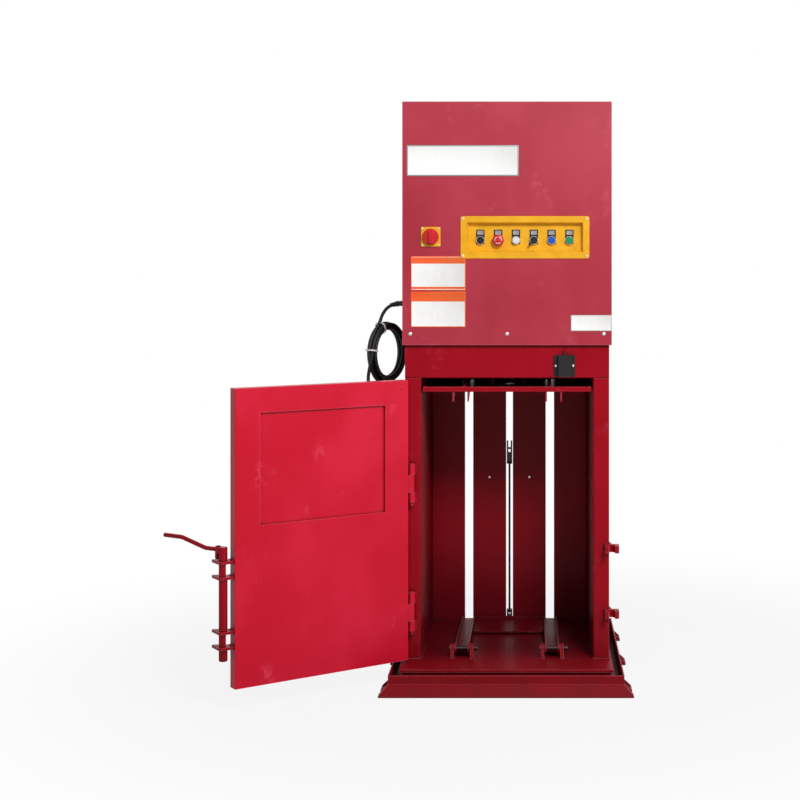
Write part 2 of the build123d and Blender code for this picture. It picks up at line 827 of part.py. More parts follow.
# Panel that closes the opening of the door's inner plate from behind
with BuildPart() as door_inset:
    with BuildSketch(door_face(door_inside - recess_sink, recess_along, recess_centre_height)):
        Rectangle(recess_width + 2 * recess_lap, recess_height + 2 * recess_lap)
    extrude(amount=-recess_panel_thickness)
save(door_inset.part, "door_inset")

# Frame side of the hinges: two eyes each, welded to the left column
with BuildPart() as hinge_eyes:
    for height in hinge_heights:
        for side in (-1, 1):
            eye_bottom = height + side * (eye_gap + eye_height) / 2 - eye_height / 2
            with BuildSketch(Plane.XY.offset(eye_bottom)):
                with Locations((pin_x, pin_y)):
                    Circle(eye_radius)
                with Locations((pin_x, pin_y + pin_standoff / 2)):
                    Rectangle(2 * eye_radius, pin_standoff)
                with Locations((pin_x, pin_y)):
                    Circle(pin_diameter / 2 + pin_clearance, mode=Mode.SUBTRACT)
            extrude(amount=eye_height)
save(hinge_eyes.part, "hinge_eyes")

# Hinge pins, headed above and split-pinned below
hinge_reach = eye_gap / 2 + eye_height
with BuildPart() as hinge_pins:
    for height in hinge_heights:
        with BuildSketch(Plane.XY.offset(height - hinge_reach - pin_tail)):
            with Locations((pin_x, pin_y)):
                Circle(pin_diameter / 2)
        extrude(amount=2 * hinge_reach + pin_tail)
        with BuildSketch(Plane.XY.offset(height + hinge_reach)):
            with Locations((pin_x, pin_y)):
                Circle(pin_head_diameter / 2)
        extrude(amount=pin_head_height)
        split_pin_z = height - hinge_reach - pin_tail / 2
        with BuildSketch(side_plane(pin_x - split_pin_length / 2, pin_y, split_pin_z)):
            Circle(split_pin_diameter / 2)
        extrude(amount=split_pin_length)
save(hinge_pins.part, "hinge_pins")

# Door side of the hinges: a sleeve on each pin with a strap to the door's edge
knuckle_height = eye_gap - 2 * knuckle_gap
with BuildPart() as door_knuckles:
    for height in hinge_heights:
        with BuildSketch(door_plan(height - knuckle_height / 2)):
            Circle(knuckle_radius)
            with Locations((door_near / 2, door_inside - knuckle_radius / 2)):
                Rectangle(door_near, knuckle_radius)
            Circle(pin_diameter / 2 + pin_clearance, mode=Mode.SUBTRACT)
        extrude(amount=knuckle_height)
save(door_knuckles.part, "door_knuckles")

# Latch lugs on the door's free edge, in pairs above and below each keeper
bar_along = door_far + bar_offset
bar_inward = door_outside + bar_depth
lug_reach_x = bar_offset + bar_diameter / 2 + lug_wall
with BuildPart() as latch_lugs:
    for height in latch_heights:
        for side in (-1, 1):
            lug_bottom = height + side * lug_spread / 2 - lug_plate / 2
            with BuildSketch(door_plan(lug_bottom)):
                with BuildLine():
                    left = door_far
                    right = door_far + lug_reach_x
                    near = bar_inward + bar_diameter / 2 + lug_wall
                    far = bar_inward - bar_diameter / 2 - lug_wall
                    Polyline(
                        (left, near),
                        (right - lug_wall, near),
                        (right, near - lug_wall),
                        (right, far - lug_nose),
                        (right - lug_wall, far - lug_nose),
                        (left + lug_wall, far),
                        (left, far),
                        close=True,
                    )
                make_face()
                with Locations((bar_along, bar_inward)):
                    Circle(bar_diameter / 2 + latch_clearance, mode=Mode.SUBTRACT)
            extrude(amount=lug_plate)
save(latch_lugs.part, "latch_lugs")

# Latch bar: a round bar cut to a D between each pair of lugs, where it goes into the keepers
bar_plan_origin = Vector(*door_point(bar_along, bar_inward))


def bar_plan(height):
    """Level plane on the latch bar's axis, turned with the door."""
    return Plane(origin=bar_plan_origin + Vector(0, 0, height), x_dir=door_along, z_dir=(0, 0, 1))


lever_turn = radians(lever_angle)
lever_direction = Vector(*door_along) * sin(lever_turn) - Vector(*door_inward) * cos(lever_turn)


def lever_plan(height):
    """Level plane on the latch bar's axis, turned with the lever."""
    return Plane(origin=bar_plan_origin + Vector(0, 0, height), x_dir=lever_direction, z_dir=(0, 0, 1))


lug_gap = lug_spread - lug_plate
flat_side = bar_flat - bar_diameter / 2
with BuildPart() as latch_bar:
    with BuildSketch(bar_plan(bar_bottom)):
        Circle(bar_diameter / 2)
    extrude(amount=bar_top - bar_bottom)
    chamfer(latch_bar.edges().filter_by(GeomType.CIRCLE), 2)
    for height in latch_heights:
        with BuildSketch(bar_plan(height - lug_gap / 2)):
            with Locations((-flat_side - bar_diameter / 2, 0)):
                Rectangle(bar_diameter, 2 * bar_diameter)
        extrude(amount=lug_gap, mode=Mode.SUBTRACT)
    with BuildSketch(lever_plan(bar_top - lever_neck)):
        with Locations((flat_side + bar_diameter / 2, 0)):
            Rectangle(bar_diameter, 2 * bar_diameter)
    extrude(amount=lever_neck, mode=Mode.SUBTRACT)
save(latch_bar.part, "latch_bar")

# Latch lever: a cheek plate necked to the flat at the bar's top, and a rod with a raised grip
lever_z = bar_top + lug_wall / 2 - lever_plate_height / 2
rod_z = bar_top - lever_neck / 2
lever_across = lever_direction.rotate(Axis.Z, 90)


def lever_face(outward, height):
    """Upright plane square to the lever, outward from the latch bar's axis."""
    origin = bar_plan_origin + lever_direction * outward + Vector(0, 0, height)
    return Plane(origin=origin, x_dir=lever_across, z_dir=lever_direction)


with BuildPart() as latch_lever:
    with BuildSketch(lever_face(lever_start - lever_plate / 2, lever_z)):
        RectangleRounded(lever_plate_width, lever_plate_height, lug_wall)
    extrude(amount=lever_plate)
    with BuildSketch(lever_face(flat_side, rod_z)):
        Rectangle(bar_flat, lever_neck)
    extrude(amount=lever_start - flat_side)
    lever_side = Plane(
        origin=bar_plan_origin + Vector(0, 0, rod_z),
        x_dir=lever_direction,
        z_dir=lever_across * -1,
    )
    with BuildLine(lever_side):
        lever_path = FilletPolyline(
            (lever_start, 0),
            (lever_length * 0.3, 0),
            (lever_length * 0.7, lever_rise),
            (lever_length, lever_rise),
            radius=lever_bend,
        )
    with BuildSketch(lever_face(lever_start, rod_z)):
        Circle(lever_diameter / 2)
    sweep(path=lever_path)
save(latch_lever.part, "latch_lever")

# Keepers on the right column, as the closed door's bar meets them
closed_bar_x = pin_x + bar_along
closed_bar_y = pin_y + bar_inward
keeper_bore = bar_diameter / 2 + keeper_clearance
mouth_left = closed_bar_x - flat_side - 2 * keeper_clearance
mouth_right = closed_bar_x + keeper_bore
keeper_left = mouth_left - keeper_wall
keeper_right = mouth_right + keeper_wall
keeper_front = closed_bar_y - keeper_bore + 1
keeper_back = closed_bar_y + keeper_bore + keeper_wall
with BuildPart() as keepers:
    for height in latch_heights:
        with BuildSketch(Plane.XY.offset(height - keeper_height / 2)):
            with BuildLine():
                Polyline(
                    (keeper_left, keeper_front),
                    (keeper_right - keeper_wall / 2, keeper_front),
                    (keeper_right, keeper_front + keeper_wall / 2),
                    (keeper_right, keeper_back),
                    (body_width / 2 + keeper_plate, keeper_back),
                    (body_width / 2 + keeper_plate, keeper_front + keeper_tail),
                    (body_width / 2, keeper_front + keeper_tail),
                    (body_width / 2, body_front),
                    (keeper_left, body_front),
                    close=True,
                )
            make_face()
            with Locations((closed_bar_x, closed_bar_y)):
                Circle(keeper_bore, mode=Mode.SUBTRACT)
            with Locations(((mouth_left + mouth_right) / 2, closed_bar_y - keeper_bore)):
                Rectangle(mouth_right - mouth_left, 2 * keeper_bore, mode=Mode.SUBTRACT)
        extrude(amount=keeper_height)
save(keepers.part, "keepers")

# Platen: a shallow tray with ribs, teeth below and the cylinder's clevis on top
platen_width = chamber_width - 2 * platen_gap
platen_front = body_front + platen_front_gap
platen_back = chamber_back - platen_gap
platen_depth = platen_back - platen_front
platen_top = platen_height + platen_plate
with BuildPart() as platen:
    with BuildSketch(Plane.XY.offset(platen_height)):
        with Locations((0, cylinder_y)):
            Rectangle(platen_width, platen_depth)
    extrude(amount=platen_rim_height)
    with BuildSketch(Plane.XY.offset(platen_top)):
        with Locations((0, cylinder_y)):
            Rectangle(platen_width - 2 * platen_rim, platen_depth - 2 * platen_rim)
    extrude(amount=platen_rim_height, mode=Mode.SUBTRACT)
    fillet(platen.edges().filter_by(Axis.X).group_by(Axis.Y)[0].sort_by(Axis.Z)[0], 3)
    for side in (-1, 1):
        with BuildSketch(side_plane(side * platen_rib_offset - platen_rib / 2, cylinder_y, platen_top)):
            with BuildLine():
                Polyline(
                    (-platen_depth / 2 + platen_rim, 0),
                    (platen_depth / 2 - platen_rim, 0),
                    (platen_depth / 2 - platen_rim, platen_rim_height / 2),
                    (platen_depth / 6, platen_rib_height),
                    (-platen_depth / 6, platen_rib_height),
                    (-platen_depth / 2 + platen_rim, platen_rim_height / 2),
                    close=True,
                )
            make_face()
        extrude(amount=platen_rib)
    for place in tooth_positions:
        with BuildSketch(side_plane(place - tooth_thickness / 2, platen_front + 4, platen_height)):
            with BuildLine():
                tooth_tip = tooth_length / 6
                Polyline((0, 0), (tooth_length, 0), (tooth_tip, -tooth_height), (0, -tooth_height), close=True)
            make_face()
        extrude(amount=tooth_thickness)
    for side in (-1, 1):
        clevis_side = side * (clevis_gap + clevis_plate) / 2
        with BuildSketch(side_plane(clevis_side - clevis_plate / 2, cylinder_y, platen_top)):
            with Locations((0, clevis_pin_height / 2)):
                Rectangle(clevis_width, clevis_pin_height)
            with Locations((0, clevis_pin_height)):
                Circle(clevis_width / 2)
                Circle(clevis_pin_diameter / 2 + pin_clearance, mode=Mode.SUBTRACT)
        extrude(amount=clevis_plate)
save(platen.part, "platen")

# Clevis pin lying across the platen
clevis_z = platen_top + clevis_pin_height
with BuildPart() as clevis_pin:
    with BuildSketch(side_plane(-clevis_pin_length / 2, cylinder_y, clevis_z)):
        Circle(clevis_pin_diameter / 2)
    extrude(amount=clevis_pin_length)
    with BuildSketch(side_plane(clevis_pin_length / 2, cylinder_y, clevis_z)):
        Circle(clevis_pin_diameter / 2 + clevis_pin_rim)
    extrude(amount=8)
    chamfer(clevis_pin.edges().filter_by(GeomType.CIRCLE).group_by(Axis.X)[0], 2)
save(clevis_pin.part, "clevis_pin")

# Piston rod with its eye and piston, one turned and welded piece
barrel_bottom = deck_top
barrel_top = barrel_bottom + barrel_length
piston_top = barrel_top - barrel_base - piston_headroom
with BuildPart() as piston_rod:
    with BuildSketch(side_plane(-rod_eye_width / 2, cylinder_y, clevis_z)):
        Circle(rod_eye_radius)
        with Locations((0, rod_eye_radius)):
            Rectangle(rod_diameter, 2 * rod_eye_radius)
    extrude(amount=rod_eye_width)
    with BuildSketch(Plane.XY.offset(clevis_z + rod_eye_radius)):
        with Locations((0, cylinder_y)):
            Circle(rod_diameter / 2)
    extrude(amount=piston_top - clevis_z - rod_eye_radius)
    with BuildSketch(Plane.XY.offset(piston_top - piston_thickness)):
        with Locations((0, cylinder_y)):
            Circle(barrel_bore / 2 - piston_clearance)
    extrude(amount=piston_thickness)
    with BuildSketch(side_plane(-rod_eye_width / 2, cylinder_y, clevis_z)):
        Circle(clevis_pin_diameter / 2 + pin_clearance)
    extrude(amount=rod_eye_width, mode=Mode.SUBTRACT)
save(piston_rod.part, "piston_rod")

# Cylinder barrel with its closed end and ports
with BuildPart() as cylinder_barrel:
    with BuildSketch(Plane.XY.offset(barrel_bottom)):
        with Locations((0, cylinder_y)):
            Circle(barrel_diameter / 2)
    extrude(amount=barrel_length)
    with BuildSketch(Plane.XY.offset(barrel_bottom)):
        with Locations((0, cylinder_y)):
            Circle(barrel_bore / 2)
    extrude(amount=barrel_length - barrel_base, mode=Mode.SUBTRACT)
    chamfer(cylinder_barrel.edges().filter_by(GeomType.CIRCLE).group_by(Axis.Z)[-1], 3)
    for height in (barrel_bottom + port_height, barrel_top - port_height):
        with BuildSketch(side_plane(barrel_bore / 2 + 2, cylinder_y, height)):
            Circle(port_diameter / 2)
        extrude(amount=port_reach - barrel_bore / 2 - 2)
save(cylinder_barrel.part, "cylinder_barrel")

# Rod gland, seated through the deck plate
with BuildPart() as rod_gland:
    with BuildSketch(Plane.XY.offset(deck_top - gland_length)):
        with Locations((0, cylinder_y)):
            Circle(gland_diameter / 2)
            Circle(rod_diameter / 2 + rod_clearance, mode=Mode.SUBTRACT)
    extrude(amount=gland_length)
save(rod_gland.part, "rod_gland")

# Ejector: two arms that lie in the side slots of the floor and swing up to tip the bale out
pivot_z = floor_height + pivot_height
arm_bottom = floor_height + arm_lift
arm_back = pivot_y + arm_reach
pull_pin_y = chamber_back + channel_depth / 2
pull_pin_z = arm_bottom + pull_eye_radius
with BuildPart() as ejector_frame:
    for side in (-1, 1):
        arm_x = side * arm_spacing
        with BuildSketch(side_plane(arm_x - arm_width / 2)):
            with BuildLine():
                Polyline(
                    (pivot_y, pivot_z - ear_radius),
                    (arm_back, arm_bottom),
                    (arm_back, arm_bottom + arm_tip_height),
                    (pivot_y, pivot_z + ear_radius),
                    close=True,
                )
            make_face()
            with Locations((pivot_y, pivot_z)):
                Circle(ear_radius)
        extrude(amount=arm_width)
        with BuildSketch(side_plane(arm_x - arm_width / 2 + arm_wall)):
            with BuildLine():
                Polyline(
                    (pivot_y - 2 * ear_radius, pivot_z - 2 * ear_radius),
                    (pivot_y + ear_radius, pivot_z - 2 * ear_radius),
                    (pivot_y + ear_radius, pivot_z - ear_radius + arm_wall),
                    (arm_back + arm_wall, arm_bottom + arm_wall),
                    (arm_back + arm_wall, pivot_z + 2 * ear_radius),
                    (pivot_y - 2 * ear_radius, pivot_z + 2 * ear_radius),
                    close=True,
                )
            make_face()
        extrude(amount=arm_width - 2 * arm_wall, mode=Mode.SUBTRACT)
        with BuildSketch(side_plane(arm_x - arm_width / 2, pivot_y, pivot_z)):
            Circle(pivot_pin_diameter / 2 + pivot_clearance)
        extrude(amount=arm_width, mode=Mode.SUBTRACT)
    with BuildSketch(side_plane(-arm_spacing + arm_width / 2)):
        with BuildLine():
            Polyline(
                (arm_back - cross_depth, arm_bottom),
                (arm_back, arm_bottom),
                (arm_back, arm_bottom + arm_tip_height),
                (arm_back - cross_plate, arm_bottom + arm_tip_height),
                (arm_back - cross_plate, arm_bottom + cross_plate),
                (arm_back - cross_depth, arm_bottom + cross_plate),
                close=True,
            )
        make_face()
    extrude(amount=2 * arm_spacing - arm_width)
    with BuildSketch(side_plane(-pull_lug_thickness / 2)):
        with Locations(((arm_back + pull_pin_y) / 2, pull_pin_z)):
            Rectangle(pull_pin_y - arm_back, 2 * pull_eye_radius)
        with Locations((pull_pin_y, pull_pin_z)):
            Circle(pull_eye_radius)
            Circle(pull_pin_diameter / 2 + pin_clearance, mode=Mode.SUBTRACT)
    extrude(amount=pull_lug_thickness)
save(ejector_frame.part, "ejector_frame")

# Ears on the floor, two to each arm
ear_offset = arm_width / 2 + ear_gap
ear_places = [side * arm_spacing + way * ear_offset for side in (-1, 1) for way in (-1, 1)]
with BuildPart() as pivot_ears:
    for index, place in enumerate(ear_places):
        ear_start = place - ear_thickness if index % 2 == 0 else place
        with BuildSketch(side_plane(ear_start, pivot_y, pivot_z)):
            with BuildLine():
                Polyline(
                    (-ear_foot_front, -pivot_height),
                    (ear_foot_back, -pivot_height),
                    (ear_radius, 0),
                    (-ear_radius, 0),
                    close=True,
                )
            make_face()
            Circle(ear_radius)
            Circle(pivot_pin_diameter / 2 + pivot_clearance, mode=Mode.SUBTRACT)
        extrude(amount=ear_thickness)
save(pivot_ears.part, "pivot_ears")

# Pivot pins of the arms, headed on one side and split-pinned on the other
ear_span = 2 * (ear_offset + ear_thickness)
with BuildPart() as ejector_pins:
    for side in (-1, 1):
        pin_start = side * arm_spacing - ear_span / 2
        with BuildSketch(side_plane(pin_start, pivot_y, pivot_z)):
            Circle(pivot_pin_diameter / 2)
        extrude(amount=ear_span + pin_tail)
        with BuildSketch(side_plane(pin_start, pivot_y, pivot_z)):
            Circle(pivot_pin_diameter / 2 + pin_head_height)
        extrude(amount=-pin_head_height)
        with BuildSketch(Plane.XY.offset(pivot_z - split_pin_length / 2)):
            with Locations((pin_start + ear_span + pin_tail / 2, pivot_y)):
                Circle(split_pin_diameter / 2)
        extrude(amount=split_pin_length)
save(ejector_pins.part, "ejector_pins")

# Pull rod that stands in the middle slot: a small fork below, a hooking fork with its pin above
with BuildPart() as pull_rod:
    with BuildSketch(side_plane(-clevis_head_width / 2)):
        with Locations((pull_pin_y, pull_pin_z)):
            Circle(pull_eye_radius)
        with Locations((pull_pin_y, pull_pin_z + pull_fork_height / 2)):
            Rectangle(2 * pull_eye_radius, pull_fork_height)
    extrude(amount=clevis_head_width)
    with BuildSketch(side_plane(-clevis_head_slot / 2)):
        with Locations((pull_pin_y, pull_pin_z)):
            Rectangle(4 * pull_eye_radius, 4 * pull_eye_radius - clevis_head_slot)
    extrude(amount=clevis_head_slot, mode=Mode.SUBTRACT)
    with BuildSketch(Plane.XY.offset(pull_pin_z + pull_fork_height)):
        with Locations((0, pull_pin_y)):
            Circle(pull_rod_diameter / 2)
    extrude(amount=pull_rod_top - clevis_head_height - pull_pin_z - pull_fork_height)
    with BuildSketch(side_plane(-clevis_head_width / 2)):
        with BuildLine():
            head_bottom = pull_rod_top - clevis_head_height
            head_front_y = pull_pin_y - clevis_head_depth / 2
            head_rear_y = pull_pin_y + clevis_head_depth / 2
            Polyline(
                (head_front_y + head_bend, head_bottom),
                (head_rear_y - head_bend, head_bottom),
                (head_rear_y, head_bottom + 2 * head_bend),
                (head_rear_y, pull_rod_top - head_bend),
                (pull_pin_y, pull_rod_top),
                (head_front_y, pull_rod_top - head_bend),
                (head_front_y, head_bottom + 2 * head_bend),
                close=True,
            )
        make_face()
    extrude(amount=clevis_head_width)
    with BuildSketch(side_plane(-clevis_head_slot / 2)):
        with Locations((pull_pin_y, pull_rod_top)):
            Rectangle(2 * clevis_head_depth, clevis_head_height)
    extrude(amount=clevis_head_slot, mode=Mode.SUBTRACT)
    for height in (pull_pin_z, pull_rod_top - clevis_head_height / 3):
        with BuildSketch(side_plane(-clevis_head_width / 2, pull_pin_y, height)):
            Circle(pull_pin_diameter / 2)
        extrude(amount=clevis_head_width)
save(pull_rod.part, "pull_rod")

# Hydraulic unit on the deck inside the head: tank, motor with pump, and valve block
tank_x = -body_width / 2 + unit_margin + tank_width / 2
tank_y = body_back - unit_margin - tank_depth / 2
with BuildPart() as hydraulic_tank:
    with BuildSketch(Plane.XY.offset(deck_top)):
        with Locations((tank_x, tank_y)):
            RectangleRounded(tank_width, tank_depth, tank_corner)
    extrude(amount=tank_height)
    with BuildSketch(Plane.XY.offset(deck_top + tank_height)):
        with Locations((tank_x, tank_y - tank_depth / 3)):
            Circle(tank_corner * 2)
    extrude(amount=tank_corner * 2)
save(hydraulic_tank.part, "hydraulic_tank")

motor_x = body_width / 2 - unit_margin - motor_diameter / 2
motor_y = body_back - unit_margin - motor_diameter / 2
with BuildPart() as pump_motor:
    with BuildSketch(Plane.XY.offset(deck_top)):
        with Locations((motor_x, motor_y)):
            Rectangle(motor_diameter, motor_diameter * 0.9)
    extrude(amount=motor_foot)
    with BuildSketch(Plane.XY.offset(deck_top + motor_foot)):
        with Locations((motor_x, motor_y)):
            Circle(motor_diameter / 2)
    extrude(amount=motor_length)
    with BuildSketch(Plane.XY.offset(deck_top + motor_foot + motor_length)):
        with Locations((motor_x, motor_y)):
            Circle(motor_diameter / 2.4)
    extrude(amount=motor_foot)
save(pump_motor.part, "pump_motor")

valve_y = motor_y - motor_diameter / 2 - unit_margin - valve_side / 2
with BuildPart() as valve_block:
    with BuildSketch(Plane.XY.offset(deck_top)):
        with Locations((motor_x, valve_y)):
            Rectangle(valve_side, valve_side)
    extrude(amount=valve_side)
    with BuildSketch(Plane.XY.offset(deck_top + valve_side)):
        with GridLocations(valve_side / 2, 0, 2, 1):
            with Locations((motor_x, valve_y)):
                Circle(hose_diameter)
    extrude(amount=valve_side)
save(valve_block.part, "valve_block")

# Hoses from the valve block to the two ports of the cylinder
valve_left = motor_x - valve_side / 2
hose_low = barrel_bottom + port_height
hose_high = barrel_top - port_height
hose_bend = (port_reach + valve_left) / 2
lower_route = [
    (port_reach, cylinder_y, hose_low),
    (hose_bend - hose_diameter, cylinder_y, hose_low),
    (hose_bend + hose_diameter, valve_y - valve_side / 4, hose_low),
    (valve_left, valve_y - valve_side / 4, hose_low),
]
upper_route = [
    (port_reach, cylinder_y, hose_high),
    (hose_bend, cylinder_y, hose_high),
    (hose_bend, valve_y + valve_side / 4, hose_low),
    (valve_left, valve_y + valve_side / 4, hose_low),
]
with BuildPart() as hydraulic_hoses:
    for route in (lower_route, upper_route):
        with BuildLine():
            hose_line = FilletPolyline(*route, radius=1.5 * hose_diameter)
        with BuildSketch(Plane(origin=hose_line @ 0, z_dir=hose_line % 0)):
            Circle(hose_diameter / 2)
        sweep(path=hose_line)
save(hydraulic_hoses.part, "hydraulic_hoses")

# Cable gland on the head's left side: a hexagon nut and a domed seal nut
gland_face = Plane(origin=(-head_width / 2, gland_y, gland_z), x_dir=(0, -1, 0), z_dir=(-1, 0, 0))
gland_nut = cord_gland_length * 0.4
with BuildPart() as cable_gland:
    with BuildSketch(gland_face):
        RegularPolygon(gland_hex / 2, 6, major_radius=False)
    extrude(amount=gland_nut)
    with BuildSketch(gland_face.offset(gland_nut)):
        Circle(gland_hex / 2 - 1)
    extrude(amount=cord_gland_length - gland_nut, taper=12)
    with BuildSketch(gland_face):
        Circle(gland_hex / 2 - 2.2)
    extrude(amount=-head_lip)
    with BuildSketch(gland_face.offset(cord_gland_length)):
        Circle(cord_diameter / 2 + cord_gland_play)
    extrude(amount=-cord_gland_length * 0.8, mode=Mode.SUBTRACT)
save(cable_gland.part, "cable_gland")

# Free stretches of the mains cord: from the gland down to the coil, and from the coil to the plug
coil_side = Vector(cos(radians(coil_angle)), sin(radians(coil_angle)), 0)
coil_front = Vector(sin(radians(coil_angle)), -cos(radians(coil_angle)), 0)
coil_centre = Vector(coil_x, coil_y, coil_z)
tail_place = coil_centre - coil_side * tail_offset - coil_front * tail_back
plug_top = coil_z - coil_radius - coil_bundle_width / 2 - tie_gap
tail_top = coil_z - tail_drop
cord_points = [
    (-371, -80, 1301),
    (-402, -80, 1301),
    (-430, -81, 1286),
    (-447, -84, 1260.5),
    (-453, -86, 1238),
]
cord_runs = [Vector(after) - Vector(before) for before, after in zip(cord_points, cord_points[1:])]
cord_radii = []
for before, after in zip(cord_runs, cord_runs[1:]):
    half_turn = radians(before.get_angle(after)) / 2
    cord_radii.append(0.45 * min(before.length, after.length) / tan(half_turn))
print("cord radii", [round(radius, 1) for radius in cord_radii])
with BuildPart() as mains_cord:
    with BuildLine():
        cord_line = FilletPolyline(*cord_points, radius=cord_radii)
    with BuildSketch(Plane(origin=cord_line @ 0, z_dir=cord_line % 0)):
        Circle(cord_diameter / 2)
    sweep(path=cord_line)
    print("cord volume", mains_cord.part.volume / (pi * cord_diameter ** 2 / 4 * cord_line.length))
    with BuildSketch(Plane.XY.offset(plug_top)):
        with Locations((tail_place.X, tail_place.Y)):
            Circle(cord_diameter / 2)
    extrude(amount=tail_top - plug_top)
save(mains_cord.part, "mains_cord")

# Coil of the spare cord: the outer shape of its bundle of turns


def bundle_section(angle):
    """Plane across the bundle of turns at an angle round the coil from its side, local x outward."""
    outward = coil_side * cos(radians(angle)) + Vector(0, 0, 1) * sin(radians(angle))
    return Plane(origin=coil_centre + outward * coil_radius, x_dir=outward, z_dir=outward.cross(coil_front))


with BuildPart() as cord_coil:
    with BuildSketch(bundle_section(0)):
        RectangleRounded(coil_bundle_width, coil_bundle_depth, coil_bundle_depth * 0.4)
    revolve(axis=Axis(coil_centre, coil_front))
save(cord_coil.part, "cord_coil")

# Two ties round the bundle of turns
tie_inner_width = coil_bundle_width + 2 * tie_gap
tie_inner_depth = coil_bundle_depth + 2 * tie_gap
with BuildPart() as coil_ties:
    for angle in tie_angles:
        with BuildSketch(bundle_section(angle)):
            RectangleRounded(
                tie_inner_width + 2 * tie_thickness,
                tie_inner_depth + 2 * tie_thickness,
                coil_bundle_depth * 0.4 + tie_thickness,
            )
            RectangleRounded(tie_inner_width, tie_inner_depth, coil_bundle_depth * 0.4, mode=Mode.SUBTRACT)
        extrude(amount=tie_width / 2, both=True)
save(coil_ties.part, "coil_ties")

# Plug on the end of the cord, hanging beside and below the coil
with BuildPart() as cord_plug:
    with BuildSketch(Plane.XY.offset(plug_top)):
        with Locations((tail_place.X, tail_place.Y)):
            Circle(cord_diameter * 0.8)
    extrude(amount=-plug_neck)
    with BuildSketch(Plane.XY.offset(plug_top - plug_neck)):
        with Locations((tail_place.X, tail_place.Y)):
            Circle(plug_diameter * 0.38)
    with BuildSketch(Plane.XY.offset(plug_top - 2 * plug_neck)):
        with Locations((tail_place.X, tail_place.Y)):
            Circle(plug_diameter * 0.46)
    loft()
    with BuildSketch(Plane.XY.offset(plug_top - 2 * plug_neck)):
        with Locations((tail_place.X, tail_place.Y)):
            Circle(plug_diameter / 2)
    extrude(amount=-(plug_length - 2 * plug_neck))
    with BuildSketch(Plane.XY.offset(plug_top - plug_length)):
        with Locations((tail_place.X, tail_place.Y)):
            Circle(plug_diameter / 2 - 3)
    extrude(amount=plug_neck, mode=Mode.SUBTRACT)
    with BuildSketch(Plane.XY.offset(plug_top - plug_length)):
        with Locations((tail_place.X, tail_place.Y)):
            with PolarLocations(plug_diameter / 4, 4):
                Circle(cord_diameter / 4)
    extrude(amount=plug_neck)
save(cord_plug.part, "cord_plug")
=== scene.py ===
"""Finishes and small pieces of an upright garbage baler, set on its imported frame."""
import json
import logging
from collections.abc import Callable, Iterable
from dataclasses import dataclass
from enum import Enum
from math import cos, pi, radians, sin

import bmesh
import bpy
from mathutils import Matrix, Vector


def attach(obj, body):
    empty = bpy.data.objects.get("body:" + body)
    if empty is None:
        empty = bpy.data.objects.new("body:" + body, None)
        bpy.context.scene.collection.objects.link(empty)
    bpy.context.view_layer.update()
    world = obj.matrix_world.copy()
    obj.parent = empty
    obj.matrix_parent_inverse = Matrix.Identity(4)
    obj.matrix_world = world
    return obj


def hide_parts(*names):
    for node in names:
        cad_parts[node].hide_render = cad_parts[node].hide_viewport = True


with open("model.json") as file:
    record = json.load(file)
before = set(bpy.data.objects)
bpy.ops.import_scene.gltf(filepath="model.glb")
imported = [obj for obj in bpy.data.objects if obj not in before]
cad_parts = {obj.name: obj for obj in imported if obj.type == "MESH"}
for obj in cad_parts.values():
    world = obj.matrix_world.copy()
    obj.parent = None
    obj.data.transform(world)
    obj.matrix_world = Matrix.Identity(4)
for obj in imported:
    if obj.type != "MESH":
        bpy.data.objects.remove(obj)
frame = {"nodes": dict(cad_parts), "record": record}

log = logging.getLogger("baler")
Point = tuple[float, float, float]
Colour = tuple[float, float, float, float]
Span = tuple[float, float]
Run = tuple[Point, Point]

FLAT = 0.9  # A face looks one way when its normal agrees with it by this much
HARD_EDGE = radians(40)
SOFT_BEND = radians(38)
FRONT: Point = (0, -1, 0)
UPRIGHT: Point = (0, 0, 1)
QUARTER_TURN = (pi / 2, 0, 0)

PRIMER: Colour = (0.30, 0.22, 0.20, 1)
DARK_MARK: Colour = (0.05, 0.012, 0.012, 1)
# Colour of the painted shade in the press chamber.
CHAMBER_SHADE_COLOUR: Colour = (0.042, 0.0004, 0.003, 1)
POLISHED: Colour = (0.86, 0.86, 0.85, 1)
WHITE_LIGHT: Colour = (1, 1, 1, 1)


